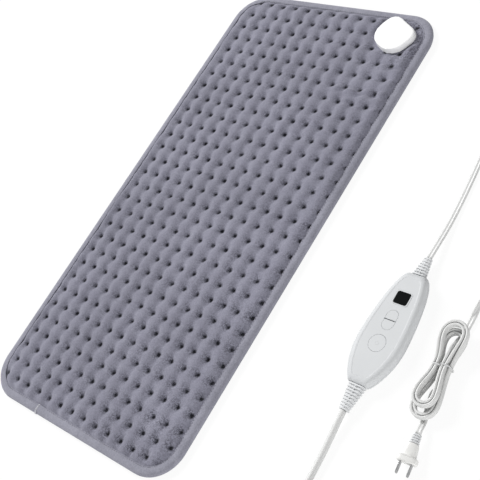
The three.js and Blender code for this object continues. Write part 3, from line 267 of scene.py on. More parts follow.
# Materials: each is one Principled shader with object-space noise for colour, roughness and bump.
def shader(name, colour, roughness, **sockets):
    material = bpy.data.materials.new(name)
    material.use_nodes = True
    bsdf = material.node_tree.nodes["Principled BSDF"]
    bsdf.inputs["Base Color"].default_value = (*colour, 1.0)
    bsdf.inputs["Roughness"].default_value = roughness
    for socket, value in sockets.items():
        bsdf.inputs[socket.replace("_", " ")].default_value = value
    return material


def node(material, kind, **values):
    made = material.node_tree.nodes.new(kind)
    for key, value in values.items():
        if key in made.inputs:
            made.inputs[key].default_value = value
        else:
            setattr(made, key, value)
    return made


def link(material, source, target):
    material.node_tree.links.new(source, target)


def principled(material):
    return material.node_tree.nodes["Principled BSDF"]


def grain(material, scale, detail=3.0, stretch=(1.0, 1.0, 1.0), distortion=0.0):
    places = node(material, "ShaderNodeTexCoord")
    mapping = node(material, "ShaderNodeMapping")
    mapping.inputs["Scale"].default_value = stretch
    link(material, places.outputs["Object"], mapping.inputs["Vector"])
    texture = node(material, "ShaderNodeTexNoise", Scale=scale, Detail=detail, Distortion=distortion)
    link(material, mapping.outputs["Vector"], texture.inputs["Vector"])
    return texture.outputs["Fac"]


def between(material, factor, low, high, low_at=0.35, high_at=0.65):
    ramp = node(material, "ShaderNodeValToRGB")
    ramp.color_ramp.elements[0].position = low_at
    ramp.color_ramp.elements[0].color = (*low, 1.0)
    ramp.color_ramp.elements[1].position = high_at
    ramp.color_ramp.elements[1].color = (*high, 1.0)
    link(material, factor, ramp.inputs["Fac"])
    return ramp.outputs["Color"]


def ranged(material, factor, low, high):
    span = node(material, "ShaderNodeMapRange")
    span.inputs["To Min"].default_value = low
    span.inputs["To Max"].default_value = high
    link(material, factor, span.inputs["Value"])
    return span.outputs["Result"]


def bump(material, factor, distance, strength=1.0, over=None):
    made = node(material, "ShaderNodeBump", Distance=distance * MM, Strength=strength)
    link(material, factor, made.inputs["Height"])
    if over is not None:
        link(material, over, made.inputs["Normal"])
    return made.outputs["Normal"]


def multiplied(material, first, second):
    mix = node(material, "ShaderNodeMix", data_type="RGBA", blend_type="MULTIPLY")
    mix.inputs["Factor"].default_value = 1.0
    link(material, first, mix.inputs["A"])
    link(material, second, mix.inputs["B"])
    return mix.outputs["Result"]


def plush_material(name, pale, deep, sheen):
    made = shader(
        name,
        pale,
        0.92,
        Sheen_Weight=sheen,
        Sheen_Roughness=0.45,
        Sheen_Tint=(0.86, 0.86, 0.95, 1.0),
        Specular_IOR_Level=0.1,
    )
    nap = between(made, grain(made, 70.0, 4.0, distortion=0.6), deep, pale)
    fibre = between(made, grain(made, 700.0, 4.0), (0.8, 0.8, 0.81), (1.06, 1.06, 1.06), 0.3, 0.7)
    brushed = between(made, grain(made, 11.0, 2.0), (0.9, 0.9, 0.9), (1.05, 1.05, 1.05), 0.3, 0.7)
    # Painted shade in the tuft pits: the pile is darkened nearly to black and speckled by fine noise.
    tuft_pit_shade = node(made, "ShaderNodeAttribute", attribute_name="tuft_pit_shade")
    speckled_pit_shade = node(made, "ShaderNodeMath", operation="MULTIPLY")
    link(made, tuft_pit_shade.outputs["Fac"], speckled_pit_shade.inputs[0])
    link(made, ranged(made, grain(made, 420.0, 3.0), 0.3, 1.7), speckled_pit_shade.inputs[1])
    pit_shaded = between(made, speckled_pit_shade.outputs["Value"], (1.0, 1.0, 1.0), (0.03, 0.03, 0.04), 0.12, 0.7)
    # Ruffled pile and painted shade: where the mask is high, the pile is darkened with speckle.
    ruffle_and_shade = node(made, "ShaderNodeAttribute", attribute_name="ruffle_and_shade")
    ruffled_and_shaded = node(made, "ShaderNodeMix", data_type="RGBA", blend_type="MULTIPLY")
    link(made, ruffle_and_shade.outputs["Fac"], ruffled_and_shaded.inputs["Factor"])
    link(made, multiplied(made, nap, fibre), ruffled_and_shaded.inputs["A"])
    tufted = grain(made, 480.0, 3.0, distortion=1.2)
    link(made, between(made, tufted, (0.34, 0.34, 0.35), (1.14, 1.14, 1.14), 0.38, 0.62), ruffled_and_shaded.inputs["B"])
    pile = multiplied(made, ruffled_and_shaded.outputs["Result"], brushed)
    link(made, multiplied(made, pile, pit_shaded), principled(made).inputs["Base Color"])
    soft = bump(made, grain(made, 190.0, 3.0), 0.6, 0.5)
    link(made, bump(made, grain(made, 800.0, 4.0), 0.5, 0.45, soft), principled(made).inputs["Normal"])
    return made


def woven_material(name, pale, deep, count, depth, sheen=0.25):
    made = shader(name, pale, 0.85, Sheen_Weight=sheen, Sheen_Roughness=0.5, Specular_IOR_Level=0.15)
    places = node(made, "ShaderNodeTexCoord")
    weave = node(made, "ShaderNodeMath", operation="MAXIMUM")
    for i, direction in enumerate("XY"):
        wave = node(made, "ShaderNodeTexWave", bands_direction=direction, Scale=count, Distortion=0.4)
        link(made, places.outputs["Object"], wave.inputs["Vector"])
        link(made, wave.outputs["Fac"], weave.inputs[i])
    worn = between(made, grain(made, 60.0, 4.0), deep, pale)
    fine = between(made, weave.outputs["Value"], (0.88, 0.88, 0.88), (1.0, 1.0, 1.0), 0.2, 0.8)
    link(made, multiplied(made, worn, fine), principled(made).inputs["Base Color"])
    soft = bump(made, grain(made, 220.0, 3.0), 0.35, 0.5)
    link(made, bump(made, weave.outputs["Value"], depth, 0.6, soft), principled(made).inputs["Normal"])
    return made


def moulded_material(name, pale, deep, roughness, pores=900.0, depth=0.03, **sockets):
    made = shader(name, pale, roughness, **sockets)
    bsdf = principled(made)
    tone = between(made, grain(made, 45.0, 3.0), deep, pale)
    link(made, tone, bsdf.inputs["Base Color"])
    worn = ranged(made, grain(made, 130.0, 4.0), roughness - 0.05, roughness + 0.07)
    link(made, worn, bsdf.inputs["Roughness"])
    link(made, bump(made, grain(made, pores, 2.0), depth, 0.5), bsdf.inputs["Normal"])
    return made


def metal_material(name, pale, deep, roughness, stretch=(1.0, 0.05, 1.0)):
    made = shader(name, pale, roughness, Metallic=1.0)
    bsdf = principled(made)
    brushed = grain(made, 900.0, 3.0, stretch)
    link(made, between(made, brushed, deep, pale), bsdf.inputs["Base Color"])
    link(made, ranged(made, brushed, roughness - 0.06, roughness + 0.1), bsdf.inputs["Roughness"])
    link(made, bump(made, brushed, 0.01, 0.4), bsdf.inputs["Normal"])
    return made


PLUSH = plush_material("plush", (0.270, 0.269, 0.329), (0.244, 0.242, 0.300), 0.35)
BACK_PLUSH = plush_material("back_plush", (0.270, 0.268, 0.326), (0.240, 0.238, 0.294), 0.3)
BINDING = plush_material("binding", (0.322, 0.321, 0.378), (0.284, 0.283, 0.336), 0.3)
THREAD = woven_material("thread", (0.140, 0.139, 0.166), (0.115, 0.114, 0.140), 900.0, 0.05)
SEAM_AND_FOLD_HIGHLIGHT = woven_material("seam_thread", (0.560, 0.560, 0.600), (0.500, 0.500, 0.540), 900.0, 0.05)
FELT = woven_material("felt", (0.760, 0.740, 0.700), (0.700, 0.680, 0.640), 300.0, 0.05)
WHITE = moulded_material("white_plastic", (0.935, 0.936, 0.940), (0.915, 0.916, 0.920), 0.34)
CASE = moulded_material(
    "case_plastic", (0.616, 0.629, 0.641), (0.602, 0.615, 0.627), 0.48, 1500.0, 0.02, Specular_IOR_Level=0.25
)
RUBBER = moulded_material("grey_rubber", (0.668, 0.678, 0.688), (0.644, 0.654, 0.664), 0.55, 800.0, 0.04)
LEAD = moulded_material("lead_sleeve", (0.672, 0.674, 0.668), (0.648, 0.651, 0.645), 0.42, 700.0, 0.03)
PLUG = moulded_material("plug_moulding", (0.800, 0.798, 0.780), (0.775, 0.773, 0.755), 0.4)
GLASS = moulded_material(
    "dark_glass", (0.004, 0.005, 0.005), (0.003, 0.004, 0.004), 0.3, 300.0, 0.005, Specular_IOR_Level=0.02
)
DARK = moulded_material("dark_plastic", (0.030, 0.030, 0.032), (0.024, 0.024, 0.026), 0.45)
BOARD = moulded_material("board", (0.030, 0.145, 0.065), (0.024, 0.120, 0.054), 0.35, 500.0, 0.03)
FILM = moulded_material("film", (0.560, 0.320, 0.060), (0.500, 0.280, 0.050), 0.35)
SEAL = moulded_material("fuse_glass", (0.700, 0.720, 0.720), (0.640, 0.660, 0.660), 0.15)
TIE = moulded_material("tie", (0.600, 0.604, 0.606), (0.560, 0.564, 0.566), 0.45)
SLEEVE = moulded_material("wire_sleeve", (0.620, 0.100, 0.070), (0.560, 0.085, 0.060), 0.45)
ICON = moulded_material("icon_print", (0.500, 0.510, 0.520), (0.480, 0.490, 0.500), 0.5)
KNOT_AND_PIT_SHADE = woven_material("knot", (0.020, 0.020, 0.024), (0.014, 0.014, 0.018), 900.0, 0.05, 0.0)
BRASS = metal_material("brass", (0.780, 0.560, 0.240), (0.690, 0.480, 0.200), 0.28)
STEEL = metal_material("steel", (0.620, 0.625, 0.630), (0.520, 0.525, 0.530), 0.26)
BLADE = metal_material("blade_steel", (0.330, 0.332, 0.335), (0.270, 0.272, 0.275), 0.3)


# Pieces.
def piece(name, vertices, faces, material, slot, body="base", smooth=True):
    mesh = bpy.data.meshes.new(name)
    mesh.from_pydata((np.asarray(vertices, float) * MM).tolist(), [], faces)
    mesh.update()
    mesh.materials.append(material)
    mesh.polygons.foreach_set("use_smooth", [smooth] * len(mesh.polygons))
    made = added(name, mesh)
    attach(made, body)
    return made


# Curves through given points: centripetal Catmull-Rom, as the solids have it.
def smooth_route(points, per_span=24):
    points = np.asarray(points, float)
    ends = np.vstack([2 * points[0] - points[1], points, 2 * points[-1] - points[-2]])
    route = []
    for i in range(len(points) - 1):
        p0, p1, p2, p3 = ends[i : i + 4, :3]
        d0, d1, d2 = (max(np.linalg.norm(b - a), 1e-6) ** 0.5 for a, b in ((p0, p1), (p1, p2), (p2, p3)))
        t1 = ((p1 - p0) / d0 - (p2 - p0) / (d0 + d1) + (p2 - p1) / d1) * d1
        t2 = ((p2 - p1) / d1 - (p3 - p1) / (d1 + d2) + (p3 - p2) / d2) * d1
        for k in range(per_span):
            s = k / per_span
            at = (2 * s**3 - 3 * s**2 + 1) * p1 + (s**3 - 2 * s**2 + s) * t1
            at = at + (3 * s**2 - 2 * s**3) * p2 + (s**3 - s**2) * t2
            roll = lerp(points[i][3], points[i + 1][3], smoothstep(s, 0, 1))
            route.append([*at, roll])
    route.append([*points[-1]])
    return np.array(route)


def evenly(route, spacing):
    run = np.concatenate([[0.0], np.cumsum(np.linalg.norm(np.diff(route[:, :3], axis=0), axis=1))])
    count = int(round(run[-1] / spacing)) + 1
    at = np.linspace(0.0, run[-1], count)
    return np.stack([np.interp(at, run, route[:, k]) for k in range(route.shape[1])], axis=1), run[-1]


def settled(route, passes=2):
    for _ in range(passes):
        inner = (route[:-2] + 2 * route[1:-1] + route[2:]) / 4
        route = np.vstack([route[:1], inner, route[-1:]])
    return route


# Faces between rings of points that start at a base index, back to the first ring where they close.
def band_faces(base, rings, sides, closed=False):
    faces = []
    for i in range(rings if closed else rings - 1):
        a, b = base + i * sides, base + (i + 1) % rings * sides
        for j in range(sides):
            k = (j + 1) % sides
            faces.append((a + j, a + k, b + k, b + j))
    return faces


def tube_faces(base, rings, sides):
    last = base + (rings - 1) * sides
    caps = [tuple(range(base, base + sides))[::-1], tuple(range(last, last + sides))]
    return band_faces(base, rings, sides) + caps


# Tube along a route of [x, y, z, roll in degrees], its section level at no roll, or square to a fixed axis.
def swept(route, section, axis=None):
    tangents = np.gradient(route[:, :3], axis=0)
    tangents /= np.linalg.norm(tangents, axis=1, keepdims=True)
    if axis is None:
        level = np.stack([tangents[:, 1], -tangents[:, 0], np.zeros(len(route))], axis=1)
        level /= np.linalg.norm(level, axis=1, keepdims=True)
        upright = np.cross(level, tangents)
        roll = np.radians(route[:, 3:4])
        normal = level * np.cos(roll) + upright * np.sin(roll)
    else:
        normal = np.tile(axis, (len(route), 1))
    binormal = np.cross(tangents, normal)
    wide, high = section[None, :, :1], section[None, :, 1:]
    rings = route[:, None, :3] + wide * normal[:, None] + high * binormal[:, None]
    return rings.reshape(-1, 3), tube_faces(0, *rings.shape[:2])


# Two round cores side by side with a groove between them.
def twin_section(steps=8, waist=125.0):
    lobe = FLAT_THICKNESS / 2
    out = FLAT_WIDTH / 2 - lobe
    right = []
    for i in range(steps + 1):
        angle = math.radians(lerp(-waist, waist, i / steps))
        right.append((out + lobe * math.cos(angle), lobe * math.sin(angle)))
    left = [(-x, -y) for x, y in right]
    groove = GROOVE_SHARE * lobe
    return np.array([*right, (0.0, groove), *left, (0.0, -groove)])


def round_section(diameter, sides=16):
    turns = np.arange(sides) * 2 * math.pi / sides
    return np.stack([np.cos(turns), np.sin(turns)], axis=1) * diameter / 2


# How far the loops are drawn in, found by halving so that they are as wide as HANK_INNER_WIDTH.
def hank_draw():
    low, high = 1 / 3, 1.0
    for _ in range(40):
        middle = (low + high) / 2
        if 1.5 * (1 - middle) * math.sqrt(3 * middle) > HANK_WAIST / HANK_INNER_WIDTH:
            low = middle
        else:
            high = middle
    return low


def hank_route(steps=48):
    draw = hank_draw()
    spread = HANK_WAIST / 2 / (1 - draw)
    reach = HANK_INNER_LENGTH / 2
    total = 2 * HANK_TURNS + 0.5
    turn = np.linspace(-HANK_START, total + HANK_START, int(total * steps) + 1)
    c, s = np.cos(-2 * math.pi * turn), np.sin(-2 * math.pi * turn)
    normal = np.stack([reach * c, spread * s * (1 - 3 * draw * c * c)], axis=1)
    normal /= np.linalg.norm(normal, axis=1, keepdims=True)
    out = HANK_PITCH * np.clip(np.minimum(turn, total - turn), 0, total)
    x = spread * c * (1 - draw * c * c) + normal[:, 0] * out
    y = reach * s + normal[:, 1] * out
    lift = lerp(HANK_WAIST_LIFT, HANK_END_LIFT, smoothstep(np.abs(y), 0.15 * reach, 0.7 * reach))
    layer = 1 - smoothstep(turn, HANK_TURNS, HANK_TURNS + 0.5)
    sag = HANK_SAG * smoothstep(-y, 0, reach)
    y = y - (HANK_SLIP + sag) * (1 - layer)
    x, y = turned(x, y, HANK_TURN)
    z = lift + FLAT_WIDTH / 2 + HANK_LAYER * layer
    return np.stack([HANK_X + x, HANK_Y + y, z, np.full(len(x), 90.0)], axis=1)


def coil_route(steps=48):
    total = 2 * COIL_TURNS + 0.5
    turn = np.linspace(0.0, total, int(total * steps) + 1)
    angle = math.pi + 2 * math.pi * turn
    radius = COIL_RADIUS - COIL_PITCH * np.minimum(turn, total - turn)
    layer = smoothstep(turn, COIL_TURNS, COIL_TURNS + 0.5)
    z = COIL_LIFT + ROUND_DIAMETER / 2 + COIL_LAYER * layer
    return np.stack([COIL_X + radius * np.cos(angle), COIL_Y + radius * np.sin(angle), z, 0 * z], axis=1)


def beyond(route, first, reach):
    end, inner = (route[0], route[1]) if first else (route[-1], route[-2])
    way = end[:3] - inner[:3]
    return [*(end[:3] + way / np.linalg.norm(way) * reach), end[3]]


def laid(route):
    return route + np.array([CASE_X, CASE_Y, 0.0, 0.0])


def cord_piece(name, route, section, spacing, nodes_replaced):
    stations, _ = evenly(laid(route), spacing)
    stations = settled(stations)
    stations, length = evenly(stations, spacing)
    made = piece(name, *swept(stations, section), LEAD, "lead_sleeve")
    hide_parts(*nodes_replaced)


def mains_route():
    hank = hank_route()
    flat = FLAT_THICKNESS / 2 + LEAD_LIFT
    edge = FLAT_WIDTH / 2 + LEAD_LIFT
    exit_y = CASE_END + FAR_RELIEF + CLEARANCE
    lead = smooth_route([
        (0, exit_y, RELIEF_AXIS, 0),
        (0, exit_y + 10, RELIEF_AXIS - 0.6, 0),
        (-0.5, exit_y + 28, 3.9, 0),
        (-1.5, exit_y + 50, 2.15, 0),
        (-3.5, 165, flat, 0),
        (-6, 195, flat, 0),
        (-8.5, 223, flat, 0),
        (-8, 247, flat + 0.6, 15),
        (1.5, 268, flat + 1.3, 50),
        (18.5, 282, edge, 90),
        (38.5, 283, edge, 90),
        (57.5, 272, edge, 90),
        (69.5, 253, edge, 90),
        (74, 227, edge, 90),
        (74.4, 192, edge, 90),
        (73.2, 152, edge, 90),
        (71.6, 112, edge, 90),
        (70.2, 72, edge, 90),
        (69.8, 53, edge - 0.4, 55),
        (69.9, 38, flat + 0.15, 0),
        (69.7, 21, flat + 0.25, 0),
        (69.4, 15.5, flat + 1.6, 30),
        (69.5, 9.5, flat + 5, 80),
        beyond(hank, True, FLAT_WIDTH + LEAD_STRAIGHT),
        beyond(hank, True, FLAT_WIDTH),
    ])

    def before_plug(reach):
        return (PLUG_X - reach * math.sin(PLUG_TURN), PLUG_Y + reach * math.cos(PLUG_TURN), PLUG_AXIS, 0)

    tail = smooth_route([
        beyond(hank, False, FLAT_WIDTH),
        beyond(hank, False, FLAT_WIDTH + LEAD_STRAIGHT),
        (71.8, -43, 3.6, 40),
        (72.7, -51, flat + 0.1, 0),
        (74, -59, flat, 0),
        (75.4, -66, flat, 0),
        (76.8, -71.5, flat + 1.5, 0),
        before_plug(LEAD_STRAIGHT - 2),
        before_plug(CLEARANCE),
    ])
    return np.vstack([lead, hank, tail])


def pad_route():
    coil = coil_route()
    exit_y = -CASE_END - NEAR_RELIEF - CLEARANCE
    floor = ROUND_DIAMETER / 2 + LEAD_LIFT
    lead = smooth_route([
        (0, exit_y, RELIEF_AXIS, 0),
        (0.2, exit_y - 10, RELIEF_AXIS - 0.6, 0),
        (0.8, exit_y - 28, 4.3, 0),
        (1.6, exit_y - 48, floor, 0),
        (2.3, -165, floor, 0),
        beyond(coil, True, ROUND_DIAMETER + LEAD_STRAIGHT),
        beyond(coil, True, ROUND_DIAMETER),
    ])
    tail = smooth_route([
        beyond(coil, False, ROUND_DIAMETER),
        beyond(coil, False, ROUND_DIAMETER + LEAD_STRAIGHT),
        (66.5, -255, 8.4, 0),
        (79.5, -245, 5.8, 0),
        (89, -231, 4.7, 0),
        (93.1, -219, 4.7, 0),
        (93.5, -211.3, 4.7, 0),
    ])
    return np.vstack([lead, coil, tail])


# A copy of a node's mesh with its points welded, and its flat facets joined up to an angle.
def welded(name, copy_name, flat_angle=None):
    work = bmesh.new()
    work.from_mesh(nodes[name].data)
    bmesh.ops.remove_doubles(work, verts=work.verts, dist=WELD)
    if flat_angle is not None:
        bmesh.ops.dissolve_limit(work, angle_limit=flat_angle, verts=work.verts, edges=work.edges)
    mesh = bpy.data.meshes.new(copy_name)
    work.to_mesh(mesh)
    work.free()
    return mesh


# A rigid node with its edges broken by a small round, as a moulded part has them.
def dress(name, material, bevel=0.3, body="base", segments=2):
    mesh = welded(name, name + "_moulded", FLAT_ANGLE)
    mesh.polygons.foreach_set("use_smooth", [True] * len(mesh.polygons))
    mesh.materials.append(material)
    made = added(name + "_moulded", mesh)
    edges = made.modifiers.new("rounded_edges", "BEVEL")
    edges.width = bevel * MM
    edges.segments = segments
    edges.limit_method = "ANGLE"
    edges.angle_limit = EDGE_ANGLE
    made.modifiers.new("flat_faces", "WEIGHTED_NORMAL").keep_sharp = True
    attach(made, body)
    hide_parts(name)
    return made


def paint(name, material):
    mesh = nodes[name].data
    mesh.materials.clear()
    mesh.materials.append(material)


# Distance to a rounded rectangle's core, from the distances past its sides.
def from_core(dx, dy):
    return np.hypot(np.maximum(dx, 0), np.maximum(dy, 0)) + np.minimum(np.maximum(dx, dy), 0)


# Half width, half length and corner radius of the pad's outline, set in from its edge.
def pad_sizes(inset):
    return PAD_WIDTH / 2 - inset, PAD_LENGTH / 2 - inset, PAD_CORNER - inset


# How far inside the outline a point is.
def inside(x, y, inset=0.0):
    half_x, half_y, corner = pad_sizes(inset)
    return corner - from_core(np.abs(x) - (half_x - corner), np.abs(y) - (half_y - corner))


# Points outside the outline, brought to it.
def snapped(x, y, inset):
    half_x, half_y, corner = pad_sizes(inset)
    cx = np.clip(x, corner - half_x, half_x - corner)
    cy = np.clip(y, corner - half_y, half_y - corner)
    dx, dy = x - cx, y - cy
    far = np.maximum(np.hypot(dx, dy), 1e-9)
    pull = np.where(far > corner, corner / far, 1.0)
    return cx + dx * pull, cy + dy * pull


def pad_outline(spacing, steps=24):
    half_x, half_y, corner = pad_sizes(0.0)
    points = []
    for sx, sy, start in ((1, 1, 0), (-1, 1, 90), (-1, -1, 180), (1, -1, 270)):
        for i in range(steps + 1):
            angle = math.radians(start + 90 * i / steps)
            x = sx * (half_x - corner) + corner * math.cos(angle)
            points.append((x, sy * (half_y - corner) + corner * math.sin(angle)))
    points.append(points[0])
    even, _ = evenly(np.array(points), spacing)
    return even[:-1]


# Closed cloth layer over the pad's outline, from a top and a bottom height at each grid point.
def layer(name, inset, spacing, top, bottom, material, slot, settle=None):
    columns = int(round((PAD_WIDTH - 2 * inset) / spacing))
    rows = int(round((PAD_LENGTH - 2 * inset) / spacing))
    xs = np.linspace(inset - PAD_WIDTH / 2, PAD_WIDTH / 2 - inset, columns + 1)
    ys = np.linspace(inset - PAD_LENGTH / 2, PAD_LENGTH / 2 - inset, rows + 1)
    x, y = (grid.ravel() for grid in np.meshgrid(xs, ys))
    within = inside(x, y, inset) > -0.2 * spacing
    x, y = snapped(x, y, inset)
    index = np.arange(len(x)).reshape(rows + 1, columns + 1)
    quads = np.stack([index[:-1, :-1], index[:-1, 1:], index[1:, 1:], index[1:, :-1]], axis=-1).reshape(-1, 4)
    quads = quads[within[quads].all(axis=1)]
    used = np.unique(quads)
    fresh = np.full(len(x), -1)
    fresh[used] = np.arange(len(used))
    quads = fresh[quads]
    x, y = x[used], y[used]
    count = len(used)
    sides = np.concatenate([quads[:, [k, (k + 1) % 4]] for k in range(4)])
    order = np.sort(sides, axis=1)
    _, first, seen = np.unique(order, axis=0, return_index=True, return_counts=True)
    rim = sides[first[seen == 1]]
    upper = np.stack([x, y, top(x, y)], axis=1)
    if settle is not None:
        upper = settle(upper, quads)
    vertices = np.concatenate([upper, np.stack([x, y, bottom(x, y)], axis=1)])
    faces = quads.tolist()
    faces += (quads[:, ::-1] + count).tolist()
    faces += [(b, a, a + count, b + count) for a, b in rim.tolist()]
    return piece(name, vertices, faces, material, slot)


def lumps(x, y, scale, seed):
    return np.array([noise.noise(Vector((a / scale, b / scale, seed))) for a, b in zip(x, y)])


def socket_distance(x, y):
    u, v = turned(x - SOCKET_X, y - SOCKET_Y, -SOCKET_TURN)
    u = np.abs(u) - COVER_WIDTH / 2 + COVER_CORNER
    v = np.abs(v) - COVER_LENGTH / 2 + COVER_CORNER
    return from_core(u, v) - COVER_CORNER


def lattice(x, y):
    u, v = turned(x - TUFT_X, y - TUFT_Y, -TUFT_TURN)
    return u / TUFT_PITCH_X, v / TUFT_PITCH_Y


TUFT_DRIFT = np.random.default_rng(7).uniform(-0.6, 0.6, (TUFT_COLUMNS, TUFT_ROWS, 2))


# Offset from the nearest tuft, each tuft a little off its place in the lattice.
def tuft_offset(x, y):
    u, v = lattice(x, y)
    column = np.clip(np.floor(u) + 0.5, 0.5 - TUFT_COLUMNS / 2, TUFT_COLUMNS / 2 - 0.5)
    row = np.clip(np.floor(v) + 0.5, 0.5 - TUFT_ROWS / 2, TUFT_ROWS / 2 - 0.5)
    i = (column + TUFT_COLUMNS / 2 - 0.5).astype(int)
    j = (row + TUFT_ROWS / 2 - 0.5).astype(int)
    return (u - column) * TUFT_PITCH_X - TUFT_DRIFT[i, j, 0], (v - row) * TUFT_PITCH_Y - TUFT_DRIFT[i, j, 1]


def pinch(x, y, radius):
    dx, dy = tuft_offset(x, y)
    return np.exp(-(dx**2 + dy**2) / (2 * radius**2))


# Creases where the pad was folded for its box: a wavering groove with a low ridge beside it.
def creases(x, y):
    drop = np.zeros(len(x))
    for (ax, ay), (bx, by), depth in CREASES:
        length = math.hypot(bx - ax, by - ay)
        along = ((x - ax) * (bx - ax) + (y - ay) * (by - ay)) / length
        across = ((y - ay) * (bx - ax) - (x - ax) * (by - ay)) / length
        across = across + CREASE_WAVER * np.sin(along / CREASE_WAVER_LENGTH)
        reach = smoothstep(along, -CREASE_FADE, CREASE_FADE)
        reach = reach * (1 - smoothstep(along, length - CREASE_FADE, length + CREASE_FADE))
        groove = np.exp(-((across / CREASE_WIDTH) ** 2))
        ridge = np.exp(-(((across - RIDGE_OFFSET) / RIDGE_WIDTH) ** 2))
        drop += depth * reach * (groove - RIDGE_SHARE * ridge)
    return drop


# The left of the pad, where the pillows crowd the binding and its tape stands fuller.
def left_share(x):
    return smoothstep(-np.asarray(x), PAD_WIDTH / 2 - 30, PAD_WIDTH / 2 - 5)


# Pillows between the tufts: soft valleys down the columns, shallower ones along the rows, a pit at each tuft.
def quilt_top(x, y):
    u, v = lattice(x, y)
    valley = np.sin(math.pi * np.clip(u, -TUFT_COLUMNS / 2, TUFT_COLUMNS / 2)) ** 2
    row = np.sin(math.pi * np.clip(v, -TUFT_ROWS / 2, TUFT_ROWS / 2)) ** 2
    full = 1 - VALLEY_SHARE * valley - ROW_SHARE * row * (1 - valley) - PIT_SHARE * pinch(x, y, PIT_RADIUS)
    uneven = 1 + UNEVEN_SHARE * lumps(x, y, UNEVEN_SCALE, 1.7)
    height = TUFT_LEVEL + PILLOW_RISE * full * uneven + ROUGH_RISE * lumps(x, y, ROUGH_SCALE, 4.9)
    height = height - creases(x, y)
    margin = lerp(HEM_FADE, HEM_FADE_LEFT, left_share(x))
    height = lerp(HEM_TOP, height, smoothstep((inside(x, y) - BINDING_WIDTH) / margin, -0.1, 1.0))
    pressed = 1 - smoothstep(socket_distance(x, y), 0.0, PRESSED_REACH)
    return lerp(height, np.minimum(height, PRESSED_LEVEL), pressed)


# Cloth run on the quilt's top, sewn at the tufts, the hem and the socket: grown a little and blown up.
def blown(upper, quads):
    x, y = upper[:, 0], upper[:, 1]
    held = np.hypot(*tuft_offset(x, y)) < SEWN_RADIUS
    held |= inside(x, y) < BINDING_WIDTH + 1
    held |= socket_distance(x, y) < 1
    mesh = bpy.data.meshes.new("cloth_run")
    mesh.from_pydata((upper * MM * RUN_SCALE).tolist(), [], quads.tolist())
    run = added("cloth_run", mesh)
    run.vertex_groups.new(name="sewn").add(np.nonzero(held)[0].tolist(), 1.0, "REPLACE")
    cloth = run.modifiers.new("cloth", "CLOTH")
    cloth.settings.quality = 6
    cloth.settings.bending_stiffness = 2.0
    cloth.settings.vertex_group_mass = "sewn"
    cloth.settings.shrink_min = -RUN_GROWTH
    cloth.settings.use_pressure = True
    cloth.settings.uniform_pressure_force = RUN_PRESSURE
    cloth.settings.effector_weights.gravity = 0.0
    cloth.collision_settings.use_collision = False
    cloth.point_cache.frame_end = RUN_FRAMES
    for number in range(1, RUN_FRAMES + 1):
        scene.frame_set(number)
    result = run.evaluated_get(bpy.context.evaluated_depsgraph_get()).data
    places = np.empty(len(upper) * 3)
    result.vertices.foreach_get("co", places)
    bpy.data.objects.remove(run)
    scene.frame_set(1)
    moved = np.clip(places.reshape(-1, 3) / (MM * RUN_SCALE) - upper, -RUN_REACH, RUN_REACH)
    return upper + moved


# Each free point goes part of the way to the middle of its neighbours, as thick plush does over folds.
def relaxed(places, quads, free, passes):
    sides = np.concatenate([quads[:, [k, (k + 1) % 4]] for k in range(4)])
    sides = np.concatenate([sides, sides[:, ::-1]])
    count = np.bincount(sides[:, 0], minlength=len(places))[:, None]
    for _ in range(passes):
        sums = [np.bincount(sides[:, 0], places[sides[:, 1], k], len(places)) for k in range(3)]
        middle = np.stack(sums, axis=1) / count
        places = np.where(free[:, None], (places + middle) / 2, places)
    return places


def filled(upper, quads):
    x, y = upper[:, 0], upper[:, 1]
    free = (inside(x, y) > HEM_INSET + 1) & (np.hypot(*tuft_offset(x, y)) > SEWN_RADIUS)
    return relaxed(blown(upper, quads), quads, free, 2)


# Painted shade in the tuft pits and on the -x side of each tuft, and ruffled pile in patches; the ruffling
# and the painted shade are strongest in the near right corner, and painted shade lies beside the socket.
def shade_and_ruffle_pile(mesh):
    places = np.empty(len(mesh.vertices) * 3)
    mesh.vertices.foreach_get("co", places)
    x, y = places.reshape(-1, 3)[:, :2].T / MM
    corner = smoothstep(1.2 * x / PAD_WIDTH - 1.4 * y / PAD_LENGTH, 0.1, 1.1)
    # Painted shade beside the socket.
    beside = smoothstep(-socket_distance(x, y), -SOCKET_SHADE_REACH, -4.0) * smoothstep(x + y, 330.0, 380.0)
    dx, dy = tuft_offset(x, y)
    # Painted shade on the -x side of each tuft, stronger toward the near right corner.
    tuft_side_shade = np.exp(-((dx + TUFT_SIDE_SHADE_OFFSET) ** 2 + dy**2) / (2 * TUFT_SIDE_SHADE_RADIUS**2)) * (0.5 + 0.5 * corner)
    patches = np.clip(1.5 * lumps(x, y, PATCH_SCALE, 6.1), 0.0, 1.0) * (0.1 + 0.35 * corner)
    ruffle_and_shade = np.clip(0.04 + tuft_side_shade + patches + 0.8 * beside, 0.0, 1.0)
    for name, values in (("tuft_pit_shade", pinch(x, y, TUFT_PIT_SHADE_RADIUS)), ("ruffle_and_shade", ruffle_and_shade)):
        mesh.attributes.new(name, "FLOAT", "POINT").data.foreach_set("value", values)


def level_at(height):
    return lambda x, y: np.full(len(x), height)


def make_front():
    flat = level_at(FRONT_BOTTOM)
    front = layer("quilted_front", HEM_INSET, FRONT_GRID, quilt_top, flat, PLUSH, "plush", filled)
    shade_and_ruffle_pile(front.data)
    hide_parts("front_panel")


def tuft_places():
    column, row = np.meshgrid(np.arange(TUFT_COLUMNS), np.arange(TUFT_ROWS), indexing="ij")
    a = (column - TUFT_COLUMNS / 2 + 0.5) * TUFT_PITCH_X + TUFT_DRIFT[..., 0]
    b = (row - TUFT_ROWS / 2 + 0.5) * TUFT_PITCH_Y + TUFT_DRIFT[..., 1]
    dx, dy = turned(a.ravel(), b.ravel(), TUFT_TURN)
    x, y = TUFT_X + dx, TUFT_Y + dy
    sewn = (inside(x, y) > BINDING_WIDTH + 0.5) & (socket_distance(x, y) > 2)
    return x[sewn], y[sewn]


